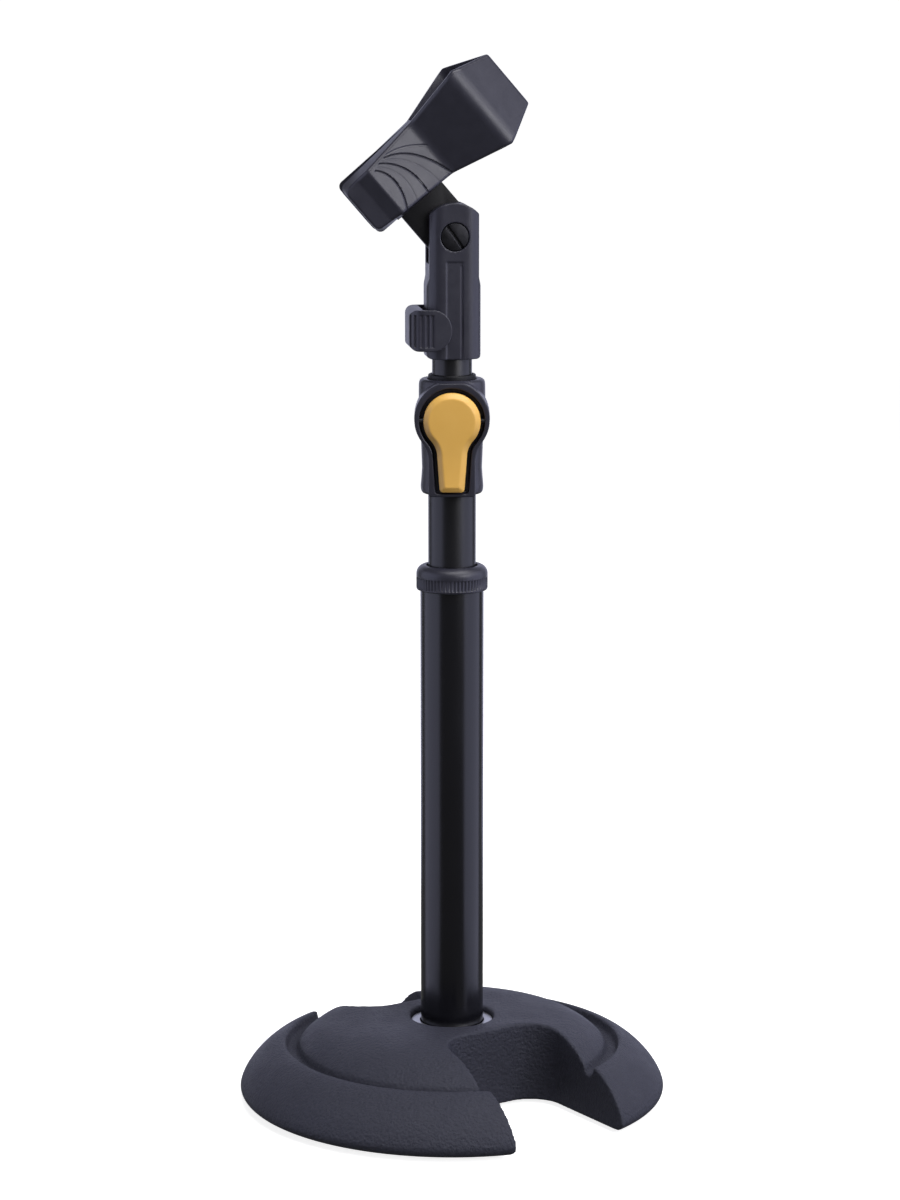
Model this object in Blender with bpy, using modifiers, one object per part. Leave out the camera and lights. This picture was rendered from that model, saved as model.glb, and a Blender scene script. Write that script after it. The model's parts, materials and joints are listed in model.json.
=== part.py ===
"""Low microphone stand: weighted H base, two-stage column with a squeeze clutch, and a sprung clip.

Metres, +Z up. The origin is on the column's axis, on the surface that the rubber feet stand on.
The clutch lever faces -Y. Run with: blender --background --python part.py
"""
import math

import bmesh
import bpy
from mathutils import Matrix, Vector

# Clearances
GAP = 0.0003              # between two pieces that touch or seat on each other
RUNNING_GAP = 0.0003      # round a piece that turns or slides

# Base casting, as heights above the feet's bottom
FOOT_PROUD = 0.0016
BASE_RADIUS = 0.087
BASE_TURN = 34.0          # degrees that the base is turned about the column
HUB_HOLE_RADIUS = 0.017
HUB_TOP = 0.0343
DOME_EDGE_RADIUS = 0.0622
DOME_EDGE_TOP = 0.0236
GROOVE_WIDTH = 0.0064
GROOVE_FLOOR = 0.0198
GROOVE_SIDE = 0.0012      # how far each side of the groove leans
RIM_TOP = 0.0239
RIM_WIDEST = 0.0055       # height of the widest part of the rim
RIM_FULLNESS = 1.45       # 2 gives a quarter ellipse, 1 a straight slope
RIM_FOOT_RADIUS = 0.0835
NOTCH_HALF_WIDTH = 0.0254
NOTCH_BACK = 0.026        # from the column's axis to the notch's back wall
NOTCH_CORNER = 0.013
SOCKET_FLOOR = 0.010
SEAT_LEDGE = 0.026
SEAT_RING_THICK = 0.006
FOOT_RADIUS = 0.007
FOOT_THICK = 0.003
FOOT_CIRCLE = 0.064
FOOT_SPREAD = 52.0        # degrees from a notch's centre line to the nearest foot
BOLT_RADIUS = 0.004
BOLT_HEAD_RADIUS = 0.0075
BOLT_HEAD_THICK = 0.0016
WASHER_RADIUS = 0.011
WASHER_THICK = 0.0015
PLUG_LENGTH = 0.012

# Column
TUBE_RADIUS = 0.0127
TUBE_WALL = 0.0015
TUBE_TOP = 0.2173
MAST_RADIUS = 0.009525
MAST_WALL = 0.001
MAST_FOOT = 0.052
BUSH_LENGTH = 0.013
TOP_BUSH_LENGTH = 0.017
BUSH_FLANGE = 0.0014
COLLAR_RADIUS = 0.0143
COLLAR_BOTTOM = TUBE_TOP - 0.0057
COLLAR_TOP = TUBE_TOP + 0.0043
COLLAR_SHOULDER = 0.0035
ROD_RADIUS = 0.0079375
ROD_WALL = 0.0013
ROD_FOOT = 0.062

# Squeeze clutch
MAST_SHOWN = 0.0335       # of the middle tube, above the outer tube
CLUTCH_BOTTOM = TUBE_TOP + MAST_SHOWN
CLUTCH_HEIGHT = 0.0458
CLUTCH_FOOT_RADIUS = 0.0125
CLUTCH_WAIST_RADIUS = 0.01195
CLUTCH_BODY_RADIUS = 0.01325
CLUTCH_DEPTH = 0.0165     # from the axis to the front of the ridge round the lever
RIDGE_RADIUS = 0.01495
RIDGE_CENTRE = CLUTCH_BOTTOM + 0.0313
BLOCK_HALF = 0.00925      # half the width of the block below the ridge
BLOCK_FILLET = 0.006
LEVER_RADIUS = 0.0113
LEVER_CENTRE = CLUTCH_BOTTOM + 0.0305
LEVER_TAIL_HALF = 0.0059
LEVER_TAIL_TAPER = 0.00095
LEVER_BOTTOM = CLUTCH_BOTTOM + 0.0025
LEVER_NECK_FILLET = 0.0095
LEVER_FRONT = 0.019       # from the axis to the lever's front face
LEVER_THICK = 0.004
LEVER_GAP = 0.002
LEVER_RECESS_FLOOR = 0.0118
LEVER_PIN_RADIUS = 0.0012
LEVER_PIN_DEPTH = 0.0148
LEVER_BARREL_RADIUS = 0.0022
LEVER_NOSE_HALF = 0.003
LEVER_NOSE_THICK = 0.0019
LEVER_NOSE_TIP = 0.011    # from the axis to the end of the nose that lifts the plates
LEVER_FREE_PLAY = 0.0006  # between the nose and the lower plate
CLUTCH_SCREW_RISE = 0.0057   # from the foot of the clutch
SOCKET_DEPTH = 0.0152
CAVITY_RADIUS = 0.0106
PLATE_STOP = 0.0057       # from the housing's top to the underside of its bush
PLATE_THICK = 0.0014
SPRING_WIRE = 0.00055
TOP_RING_RADIUS = 0.0095
TOP_RING_THICK = 0.0015

# Clip neck
HEAD_TURN = 7.0           # degrees that the neck and clip are turned about the column
ROD_SHOWN = 0.0084        # of the upper rod, above the clutch
NECK_BOTTOM = CLUTCH_BOTTOM + CLUTCH_HEIGHT + ROD_SHOWN
ROD_TOP = NECK_BOTTOM + 0.0015
NECK_WIDTH = 0.0216
NECK_DEPTH = 0.0208
NECK_CORNER = 0.0062
FORK_HALF_WIDTH = 0.00985
SHOULDER_LOW = NECK_BOTTOM + 0.0285
SHOULDER_HIGH = NECK_BOTTOM + 0.032
NECK_TOP_RADIUS = 0.0132
PIVOT_HEIGHT = NECK_BOTTOM + 0.0482
SCREW_RADIUS = 0.0025
SCREW_HEAD_RADIUS = 0.0054
SCREW_HEAD_THICK = 0.0017
SCREW_RECESS = 0.0024
SCREW_SLOT = 0.0012
SCREW_SLOT_TURN = 55.0
NUT_RADIUS = 0.0046
NUT_THICK = 0.0028
FORK_WASHER_THICK = 0.0006
FORK_WASHER_RADIUS = 0.008
ADAPTER_TOP = NECK_BOTTOM + 0.033

# Release lever on the neck
RELEASE_PIVOT = (-0.0075, NECK_BOTTOM + 0.013)
RELEASE_BOTTOM = NECK_BOTTOM + 0.0035
RELEASE_TOP = NECK_BOTTOM + 0.0198
RELEASE_REACH = 0.018
RELEASE_WALL = 0.002
RELEASE_SIDE_GAP = 0.0004
RELEASE_BACK_GAP = 0.0018
RELEASE_CORNER = 0.0062
RELEASE_END_CORNER = 0.0035
RELEASE_EAR_END = -0.0015
RELEASE_EAR_RADIUS = 0.0075
RELEASE_PIN_RADIUS = 0.0011
RELEASE_PIN_GRIP = 0.0037 # of each pin, inside the neck
RELEASE_SKIN = 0.0007     # of the lever's wall, left over each pin
LATCH_LOW = NECK_BOTTOM + 0.0042
LATCH_THICK = 0.0022
LATCH_TIP = 0.00695
LATCH_HALF_WIDTH = 0.003
LATCH_GROOVE_DEPTH = 0.0014

# Clip, along its own axes: u from the handle ends, n out of the middle plane, m across
CLIP_TILT = 40.7          # degrees that the clip's length is raised above horizontal
ARM_LENGTH = 0.0319       # from the tilt screw to the clip's centre line
PIVOT_U = 0.0215
TONGUE_RADIUS = 0.0104
TONGUE_THICK = 0.007
JAW_PIN_U = 0.036
JAW_PIN_RADIUS = 0.00125
JAW_WALL = 0.0025
JAW_EDGE_GAP = 0.0004     # from the middle plane to each jaw's edge at the pin
JAW_OPENING = 0.0063      # half the gap between the handle ends
JAW_LENGTH = 0.078
WAIST_U = 0.03725
RIDGE_U = 0.062
HANDLE_HALF = 0.01205
WAIST_HALF = 0.01295
RIDGE_HALF = 0.0184
TIP_HALF = 0.0125
LIP_N = 0.0117
FOLD_N = 0.0146
WAIST_N = 0.0068
RIDGE_N = 0.0176
TIP_N = 0.0025
EAR_RADIUS = 0.003
EAR_THICK = 0.0017
PAD_THICK = 0.0016
PAD_HALF = 0.0115
PAD_START = 0.044         # from the handle end

NAME = "microphone_stand"
STEPS = 32
ARC_STEPS = 5
FAR = 0.2                 # longer than any piece that a cutter goes through


# ---------------------------------------------------------------- scene and materials

def clear_scene():
    for obj in list(bpy.data.objects):
        bpy.data.objects.remove(obj, do_unlink=True)


def collection(name, shown=True):
    made = bpy.data.collections.new(name)
    bpy.context.scene.collection.children.link(made)
    made.hide_render = not shown
    return made


clear_scene()
PARTS = collection(NAME)
CUTTERS = collection("cutters", shown=False)


def material(name, colour, roughness, metallic=0.0):
    made = bpy.data.materials.new(name)
    made.use_nodes = True
    shader = made.node_tree.nodes["Principled BSDF"]
    shader.inputs["Base Color"].default_value = (*colour, 1.0)
    shader.inputs["Roughness"].default_value = roughness
    shader.inputs["Metallic"].default_value = metallic
    return made


CAST = material("powder_coated_casting", (0.047, 0.053, 0.070), 0.75)
GLOSS_TUBE = material("gloss_black_tube", (0.008, 0.008, 0.010), 0.22)
SATIN_TUBE = material("satin_black_tube", (0.012, 0.012, 0.015), 0.32)
CHARCOAL = material("charcoal_nylon", (0.045, 0.045, 0.060), 0.5)
BLACK = material("black_nylon", (0.010, 0.011, 0.013), 0.5)
YELLOW = material("yellow_lever_plastic", (0.78, 0.42, 0.09), 0.42)
RUBBER = material("black_rubber", (0.02, 0.02, 0.02), 0.9)
ZINC = material("zinc_plated_steel", (0.55, 0.56, 0.58), 0.35, 1.0)
STEEL = material("spring_steel", (0.35, 0.35, 0.36), 0.4, 1.0)
WHITE = material("natural_bush_plastic", (0.75, 0.74, 0.70), 0.5)


# ---------------------------------------------------------------- shapes

def empty(name, location=(0, 0, 0), rotation=(0, 0, 0), parent=None):
    made = bpy.data.objects.new(name, None)
    made.location = location
    made.rotation_euler = [math.radians(angle) for angle in rotation]
    made.parent = parent
    made.empty_display_size = 0.01
    PARTS.objects.link(made)
    return made


def add(name, mesh, finish, parent=None, location=(0, 0, 0), rotation=(0, 0, 0)):
    """A visible piece when finish is a material, and a hidden cutter when it is None."""
    made = bpy.data.objects.new(name, mesh)
    (PARTS if finish else CUTTERS).objects.link(made)
    made.location = location
    made.rotation_euler = [math.radians(angle) for angle in rotation]
    made.parent = parent
    if finish:
        made.data.materials.append(finish)
    else:
        made.hide_render = True
        made.display_type = "WIRE"
    return made


def arc(centre, radius, start, end, steps=ARC_STEPS):
    """Points round an arc, in degrees, both ends included."""
    angles = [math.radians(start + (end - start) * i / steps) for i in range(steps + 1)]
    return [(centre[0] + radius * math.cos(a), centre[1] + radius * math.sin(a)) for a in angles]


def rounded(corners, steps=ARC_STEPS, closed=True):
    """An outline from (x, y, radius) corners, each rounded by its own radius."""
    points = []
    count = len(corners)
    for i, (x, y, radius) in enumerate(corners):
        here = Vector((x, y))
        is_end = not closed and i in (0, count - 1)
        if radius <= 0 or is_end:
            points.append((x, y))
            continue
        before = (Vector(corners[i - 1][:2]) - here).normalized()
        after = (Vector(corners[(i + 1) % count][:2]) - here).normalized()
        half = before.angle(after) / 2
        centre = here + (before + after).normalized() * radius / math.sin(half)
        first = here + before * radius / math.tan(half) - centre
        last = here + after * radius / math.tan(half) - centre
        sweep = first.angle_signed(last)
        for step in range(steps + 1):
            turn = Matrix.Rotation(-sweep * step / steps, 2)
            points.append(tuple(centre + turn @ first))
    return points


def inset(path, distance):
    """An open path moved sideways by distance, to the right of its direction, with mitred corners."""
    moved = []
    points = [Vector(point) for point in path]
    for i, here in enumerate(points):
        into = (here - points[i - 1]).normalized() if i else (points[1] - here).normalized()
        out = (points[i + 1] - here).normalized() if i + 1 < len(points) else into
        side_in = Vector((into.y, -into.x))
        side_out = Vector((out.y, -out.x))
        middle = (side_in + side_out).normalized()
        moved.append(tuple(here + middle * distance / middle.dot(side_in)))
    return moved


def turned(name, profile, finish, steps=STEPS, **place):
    """A profile of (radius, height) points, down its outer side, turned about Z."""
    mesh = bpy.data.meshes.new(name)
    edges = [(i, i + 1) for i in range(len(profile) - 1)]
    if profile[0][0] > 0:
        edges.append((len(profile) - 1, 0))
    mesh.from_pydata([(radius, 0, height) for radius, height in profile], edges, [])
    made = add(name, mesh, finish, **place)
    screw = made.modifiers.new("turn", "SCREW")
    screw.axis = "Z"
    screw.steps = steps
    screw.render_steps = steps
    screw.use_smooth_shade = True
    screw.use_merge_vertices = True
    screw.merge_threshold = 0.00001
    return made


def rod(name, radius, bottom, top, finish, steps=24, **place):
    """A solid cylinder along Z."""
    return turned(name, [(0, top), (radius, top), (radius, bottom), (0, bottom)], finish, steps, **place)


def ring(name, inner, outer, bottom, top, finish, steps=STEPS, **place):
    """A tube along Z with open ends."""
    profile = [(inner, top), (outer, top), (outer, bottom), (inner, bottom)]
    return turned(name, profile, finish, steps, **place)


def stepped_hole(name, radius, bottom, step, wide_radius, **place):
    """A cutter for a hole that widens at a step and stays wide."""
    profile = [(0, FAR), (wide_radius, FAR), (wide_radius, step), (radius, step), (radius, bottom), (0, bottom)]
    return turned(name, profile, None, 24, **place)


def slab(name, outline, low, high, finish, plane="XY", **place):
    """A flat outline made solid from low to high along the axis that its plane leaves out."""
    curve = bpy.data.curves.new(name, "CURVE")
    curve.dimensions = "2D"
    curve.fill_mode = "BOTH"
    curve.extrude = (high - low) / 2
    spline = curve.splines.new("POLY")
    spline.points.add(len(outline) - 1)
    for point, (x, y) in zip(spline.points, outline):
        point.co = (x, y, 0, 1)
    spline.use_cyclic_u = True
    guide = bpy.data.objects.new(name + "_curve", curve)
    CUTTERS.objects.link(guide)
    bpy.context.view_layer.update()
    graph = bpy.context.evaluated_depsgraph_get()
    mesh = bpy.data.meshes.new_from_object(guide.evaluated_get(graph))
    bpy.data.objects.remove(guide)
    middle = (high + low) / 2
    turn = {"XY": Matrix.Identity(4), "XZ": Matrix.Rotation(math.pi / 2, 4, "X"),
            "YZ": Matrix.Rotation(math.pi / 2, 4, "Z") @ Matrix.Rotation(math.pi / 2, 4, "X")}[plane]
    shift = {"XY": (0, 0, middle), "XZ": (0, middle, 0), "YZ": (middle, 0, 0)}[plane]
    mesh.transform(Matrix.Translation(shift) @ turn)
    build = bmesh.new()
    build.from_mesh(mesh)
    bmesh.ops.remove_doubles(build, verts=build.verts, dist=0.000001)
    bmesh.ops.recalc_face_normals(build, faces=build.faces)
    build.to_mesh(mesh)
    build.free()
    mesh.name = name
    return add(name, mesh, finish, **place)


def box(name, low, high, finish=None, **place):
    build = bmesh.new()
    bmesh.ops.create_cube(build, size=1.0)
    size = Vector(high) - Vector(low)
    centre = (Vector(high) + Vector(low)) / 2
    bmesh.ops.transform(build, matrix=Matrix.LocRotScale(centre, None, size), verts=build.verts)
    mesh = bpy.data.meshes.new(name)
    build.to_mesh(mesh)
    build.free()
    return add(name, mesh, finish, **place)


def coil(name, radius, wire, bottom, top, turns, finish, lead_in=(), lead_out=(), **place):
    """A round wire spring about Z from its +Y side, clockwise, with legs given as extra points."""
    steps = round(10 * turns)
    points = list(lead_in)
    for i in range(steps + 1):
        angle = math.pi / 2 - 2 * math.pi * i * turns / steps
        height = bottom + (top - bottom) * i / steps
        points.append((radius * math.cos(angle), radius * math.sin(angle), height))
    points += list(lead_out)
    curve = bpy.data.curves.new(name, "CURVE")
    curve.dimensions = "3D"
    curve.bevel_depth = wire
    curve.bevel_resolution = 1
    curve.use_fill_caps = True
    spline = curve.splines.new("POLY")
    spline.points.add(len(points) - 1)
    for target, point in zip(spline.points, points):
        target.co = (*point, 1)
    made = bpy.data.objects.new(name, curve)
    PARTS.objects.link(made)
    made.location = place.get("location", (0, 0, 0))
    made.rotation_euler = [math.radians(angle) for angle in place.get("rotation", (0, 0, 0))]
    made.parent = place.get("parent")
    curve.materials.append(finish)
    return made


def boolean(target, tool, operation):
    change = target.modifiers.new(tool.name, "BOOLEAN")
    change.operation = operation
    change.solver = "EXACT"
    change.object = tool
    return target


def cut(target, *tools):
    for tool in tools:
        boolean(target, tool, "DIFFERENCE")
    return target


def join(target, *tools):
    for tool in tools:
        boolean(target, tool, "UNION")
    return target


def trim(target, *tools):
    for tool in tools:
        boolean(target, tool, "INTERSECT")
    return target


# ---------------------------------------------------------------- base

def base_profile():
    """The casting's section, from the hub hole outwards and down the rim."""
    bottom = FOOT_PROUD
    groove_end = DOME_EDGE_RADIUS + GROOVE_WIDTH
    dome = [(HUB_HOLE_RADIUS, HUB_TOP)]
    dome_rise = HUB_TOP - DOME_EDGE_TOP
    for share in (0.55, 0.72, 0.86, 1.0):
        radius = HUB_HOLE_RADIUS + (DOME_EDGE_RADIUS - HUB_HOLE_RADIUS) * share
        dome.append((radius, HUB_TOP - dome_rise * share ** 4.2))
    groove = [(DOME_EDGE_RADIUS + GROOVE_SIDE, GROOVE_FLOOR), (groove_end - GROOVE_SIDE, GROOVE_FLOOR)]
    rim = [(groove_end, RIM_TOP)]
    reach = BASE_RADIUS - groove_end
    rise = RIM_TOP - RIM_WIDEST
    for angle in (75, 60, 45, 30, 15, 0):
        across = math.cos(math.radians(angle)) ** (2 / RIM_FULLNESS)
        up = math.sin(math.radians(angle)) ** (2 / RIM_FULLNESS)
        rim.append((groove_end + reach * across, RIM_WIDEST + rise * up))
    foot = [(BASE_RADIUS - (BASE_RADIUS - RIM_FOOT_RADIUS) / 3, (bottom + RIM_WIDEST) / 2),
            (RIM_FOOT_RADIUS, bottom)]
    inside = [(TUBE_RADIUS + GAP, bottom), (TUBE_RADIUS + GAP, SEAT_LEDGE), (HUB_HOLE_RADIUS, SEAT_LEDGE)]
    return dome + groove + rim + foot + inside


def notch(name, parent):
    outline = rounded([
        (-NOTCH_HALF_WIDTH, -FAR, 0),
        (NOTCH_HALF_WIDTH, -FAR, 0),
        (NOTCH_HALF_WIDTH, -NOTCH_BACK, NOTCH_CORNER),
        (-NOTCH_HALF_WIDTH, -NOTCH_BACK, NOTCH_CORNER),
    ])
    return slab(name, outline, -FAR, FAR, None, parent=parent)


def make_base():
    turn = empty("base_turn", rotation=(0, 0, BASE_TURN))
    web_bottom = FOOT_PROUD + BOLT_HEAD_THICK + WASHER_THICK + 0.0011
    casting = turned("base_casting", base_profile(), CAST, steps=72, parent=turn)
    web = ring("socket_web", BOLT_RADIUS + RUNNING_GAP, TUBE_RADIUS + 0.002, web_bottom, SOCKET_FLOOR, None)
    join(casting, web)
    front = notch("front_notch", turn)
    back = notch("back_notch", turn)
    back.rotation_euler = (0, 0, math.pi)
    cut(casting, front, back)
    for i in range(4):
        side = 90 if i < 2 else 270
        lean = (90 - FOOT_SPREAD) * (1 if i % 2 else -1)
        angle = math.radians(side + lean - 90)
        spot = (FOOT_CIRCLE * math.cos(angle), FOOT_CIRCLE * math.sin(angle), 0)
        pocket = rod(f"foot_pocket_{i + 1}", FOOT_RADIUS + GAP, -FOOT_PROUD, FOOT_THICK + GAP, None,
                     parent=turn, location=spot)
        cut(casting, pocket)
        rod(f"rubber_foot_{i + 1}", FOOT_RADIUS, 0, FOOT_THICK, RUBBER, parent=turn, location=spot)
    ring("hub_seat_ring", TUBE_RADIUS + GAP, HUB_HOLE_RADIUS - GAP, SEAT_LEDGE + GAP,
         SEAT_LEDGE + GAP + SEAT_RING_THICK, ZINC)
    ring("base_washer", BOLT_RADIUS + RUNNING_GAP, WASHER_RADIUS, web_bottom - GAP - WASHER_THICK,
         web_bottom - GAP, ZINC, steps=24)
    head_top = web_bottom - 2 * GAP - WASHER_THICK
    bolt = rod("base_bolt", BOLT_RADIUS, head_top - 0.0005, SOCKET_FLOOR + PLUG_LENGTH, ZINC)
    join(bolt, rod("bolt_head", BOLT_HEAD_RADIUS, head_top - BOLT_HEAD_THICK, head_top, None, steps=6))


# ---------------------------------------------------------------- column

def make_column():
    tube_inner = TUBE_RADIUS - TUBE_WALL
    tube_foot = SOCKET_FLOOR + GAP
    ring("outer_tube", tube_inner, TUBE_RADIUS, tube_foot, TUBE_TOP, GLOSS_TUBE, steps=64)
    ring("tube_foot_plug", BOLT_RADIUS + GAP, tube_inner - GAP, tube_foot + GAP,
         tube_foot + PLUG_LENGTH, ZINC, steps=32)
    bush_inner = MAST_RADIUS + RUNNING_GAP
    flange_low = TUBE_TOP + GAP
    turned("top_bush", [
        (bush_inner, flange_low + BUSH_FLANGE),
        (TUBE_RADIUS - 0.0001, flange_low + BUSH_FLANGE),
        (TUBE_RADIUS - 0.0001, flange_low),
        (tube_inner - GAP, flange_low),
        (tube_inner - GAP, TUBE_TOP - TOP_BUSH_LENGTH),
        (bush_inner, TUBE_TOP - TOP_BUSH_LENGTH),
    ], WHITE)
    collar_step = flange_low + BUSH_FLANGE + GAP
    collar_bore = MAST_RADIUS + 0.0008
    shoulder = arc((COLLAR_RADIUS - COLLAR_SHOULDER, COLLAR_TOP - COLLAR_SHOULDER), COLLAR_SHOULDER, 90, 0)
    turned("knurled_collar", [
        (collar_bore, COLLAR_TOP),
        *shoulder,
        (COLLAR_RADIUS, COLLAR_BOTTOM + 0.0005),
        (COLLAR_RADIUS - 0.0005, COLLAR_BOTTOM),
        (TUBE_RADIUS + RUNNING_GAP, COLLAR_BOTTOM),
        (TUBE_RADIUS + RUNNING_GAP, collar_step),
        (collar_bore, collar_step),
    ], CHARCOAL, steps=40)


def make_mast():
    socket_top = CLUTCH_BOTTOM + SOCKET_DEPTH
    inner = MAST_RADIUS - MAST_WALL
    guide = TUBE_RADIUS - TUBE_WALL - RUNNING_GAP
    ring("middle_tube", inner, MAST_RADIUS, MAST_FOOT, socket_top - GAP, SATIN_TUBE, steps=48)
    sleeve = MAST_RADIUS + GAP
    lip = MAST_FOOT - GAP
    turned("mast_guide_bush", [
        (sleeve, MAST_FOOT + BUSH_LENGTH),
        (guide, MAST_FOOT + BUSH_LENGTH),
        (guide, lip - 0.0025),
        (inner, lip - 0.0025),
        (inner, lip),
        (sleeve, lip),
    ], WHITE)


# ---------------------------------------------------------------- squeeze clutch

def keyhole(radius, half, fillet, centre, bottom, corner, taper=0.0):
    """A round head over a tail that narrows by taper on each side, joined by fillets."""
    reach = radius + fillet
    side = half + fillet
    drop = math.sqrt(reach ** 2 - side ** 2)
    touch = math.degrees(math.atan2(drop, side))
    right = [(x, centre + z) for x, z in arc((side, -drop), fillet, 180, 180 - touch)]
    head = [(x, centre + z) for x, z in arc((0, 0), radius, -touch, 180 + touch, 20)]
    left = [(-x, z) for x, z in reversed(right)]
    low = half - taper
    foot_right = [(low - corner, bottom), (low, bottom + corner)]
    foot_left = [(-low, bottom + corner), (-low + corner, bottom)]
    return foot_right + right + head[1:-1] + left + foot_left


def housing_profile():
    top = CLUTCH_BOTTOM + CLUTCH_HEIGHT
    return [
        (0, top),
        (CLUTCH_BODY_RADIUS - 0.0015, top),
        (CLUTCH_BODY_RADIUS, top - 0.0015),
        (CLUTCH_BODY_RADIUS, top - 0.012),
        (CLUTCH_WAIST_RADIUS + 0.0006, top - 0.026),
        (CLUTCH_WAIST_RADIUS, CLUTCH_BOTTOM + 0.010),
        (CLUTCH_FOOT_RADIUS, CLUTCH_BOTTOM + 0.0022),
        (CLUTCH_FOOT_RADIUS - 0.0008, CLUTCH_BOTTOM),
        (0, CLUTCH_BOTTOM),
    ]


def make_clutch():
    top = CLUTCH_BOTTOM + CLUTCH_HEIGHT
    socket_top = CLUTCH_BOTTOM + SOCKET_DEPTH
    bore = ROD_RADIUS + RUNNING_GAP
    housing = turned("clutch_housing", housing_profile(), CHARCOAL)
    boss = slab("lever_boss",
                keyhole(RIDGE_RADIUS, BLOCK_HALF, BLOCK_FILLET, RIDGE_CENTRE, CLUTCH_BOTTOM + 0.0004, 0.001),
                -CLUTCH_DEPTH, -0.0006, None, plane="XZ")
    trim(boss, box("boss_top", (-FAR, -FAR, 0), (FAR, FAR, top - 0.0004)))
    join(housing, boss)
    plate_top = top - PLATE_STOP
    cut(housing,
        rod("mast_socket", MAST_RADIUS + GAP, CLUTCH_BOTTOM - 0.01, socket_top, None, STEPS),
        rod("rod_bore", bore, socket_top - 0.001, socket_top + 0.003, None, STEPS),
        rod("lock_cavity", CAVITY_RADIUS, socket_top + 0.002, plate_top, None, STEPS),
        rod("bush_seat", MAST_RADIUS + GAP, plate_top - 0.001, top + 0.01, None, STEPS),
        slab("lever_recess",
             keyhole(LEVER_RADIUS + LEVER_GAP, LEVER_TAIL_HALF + LEVER_GAP, LEVER_NECK_FILLET - LEVER_GAP,
                     LEVER_CENTRE, LEVER_BOTTOM - LEVER_GAP / 2, 0.001, LEVER_TAIL_TAPER),
             -FAR, -LEVER_RECESS_FLOOR, None, plane="XZ"),
        box("tab_window", (-0.004, -LEVER_RECESS_FLOOR - 0.001, LEVER_CENTRE),
            (0.004, 0, plate_top - GAP)),
        rod("lever_pin_hole", LEVER_PIN_RADIUS + GAP, -FAR, FAR, None,
            location=(0, -LEVER_PIN_DEPTH, LEVER_CENTRE), rotation=(0, 90, 0)),
        stepped_hole("clutch_screw_hole", 0.0018, 0.005, CLUTCH_WAIST_RADIUS - 0.0009, 0.0034,
                     location=(0, 0, CLUTCH_BOTTOM + CLUTCH_SCREW_RISE), rotation=(-90, 0, 0)))
    low_plate = make_clutch_inside(top, plate_top, socket_top, bore)
    make_clutch_lever(low_plate)


def lock_plate(name, bottom):
    plate = ring(name, ROD_RADIUS + RUNNING_GAP, CAVITY_RADIUS - 0.0004, bottom, bottom + PLATE_THICK, STEEL, 32)
    tab = box(name + "_tab", (-0.003, -LEVER_RECESS_FLOOR - 0.0004, bottom),
              (0.003, -ROD_RADIUS - 0.0008, bottom + PLATE_THICK))
    return join(plate, tab)


def make_clutch_inside(top, plate_top, socket_top, bore):
    high = plate_top - GAP - PLATE_THICK
    low = high - GAP - PLATE_THICK
    lock_plate("lock_plate_upper", high)
    lock_plate("lock_plate_lower", low)
    coil("lock_spring", ROD_RADIUS + 0.0015, SPRING_WIRE, socket_top + 0.002 + SPRING_WIRE + GAP,
         low - GAP - SPRING_WIRE, 7, STEEL)
    turned("clutch_top_bush", [
        (bore, top + GAP + TOP_RING_THICK),
        (TOP_RING_RADIUS - 0.0005, top + GAP + TOP_RING_THICK),
        (TOP_RING_RADIUS, top + GAP + TOP_RING_THICK - 0.0005),
        (TOP_RING_RADIUS, top + GAP),
        (MAST_RADIUS, top + GAP),
        (MAST_RADIUS, plate_top + GAP),
        (bore, plate_top + GAP),
    ], BLACK)
    rod("lever_pin", LEVER_PIN_RADIUS, -0.0132, 0.0132, STEEL, 16,
        location=(0, -LEVER_PIN_DEPTH, LEVER_CENTRE), rotation=(0, 90, 0))
    screw = rod("clutch_screw", 0.0015, MAST_RADIUS + GAP, CLUTCH_WAIST_RADIUS, ZINC, 16,
                location=(0, 0, CLUTCH_BOTTOM + CLUTCH_SCREW_RISE), rotation=(-90, 0, 0))
    join(screw, rod("clutch_screw_head", 0.003, CLUTCH_WAIST_RADIUS - 0.0006, CLUTCH_WAIST_RADIUS + 0.0005,
                    None, 16, location=(0, 0, CLUTCH_BOTTOM + CLUTCH_SCREW_RISE), rotation=(-90, 0, 0)))
    return low


def make_clutch_lever(low_plate):
    hinge = empty("lever_hinge", (0, -LEVER_PIN_DEPTH, LEVER_CENTRE))
    back = LEVER_FRONT - LEVER_THICK
    lever = slab("clutch_lever",
                 keyhole(LEVER_RADIUS, LEVER_TAIL_HALF, LEVER_NECK_FILLET, 0, LEVER_BOTTOM - LEVER_CENTRE,
                         0.0012, LEVER_TAIL_TAPER),
                 LEVER_PIN_DEPTH - LEVER_FRONT, LEVER_PIN_DEPTH - back, YELLOW, plane="XZ", parent=hinge)
    barrel = rod("lever_barrel", LEVER_BARREL_RADIUS, -0.008, 0.008, None, parent=hinge, rotation=(0, 90, 0))
    nose_top = low_plate - LEVER_FREE_PLAY - LEVER_CENTRE
    nose = box("lever_nose", (-LEVER_NOSE_HALF, LEVER_PIN_DEPTH - back - 0.001, nose_top - LEVER_NOSE_THICK),
               (LEVER_NOSE_HALF, LEVER_PIN_DEPTH - LEVER_NOSE_TIP, nose_top), parent=hinge)
    join(lever, barrel, nose)
    cut(lever, rod("lever_bore", LEVER_PIN_RADIUS + RUNNING_GAP, -FAR, FAR, None, parent=hinge,
                   rotation=(0, 90, 0)))


# ---------------------------------------------------------------- rod and adapter

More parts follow.
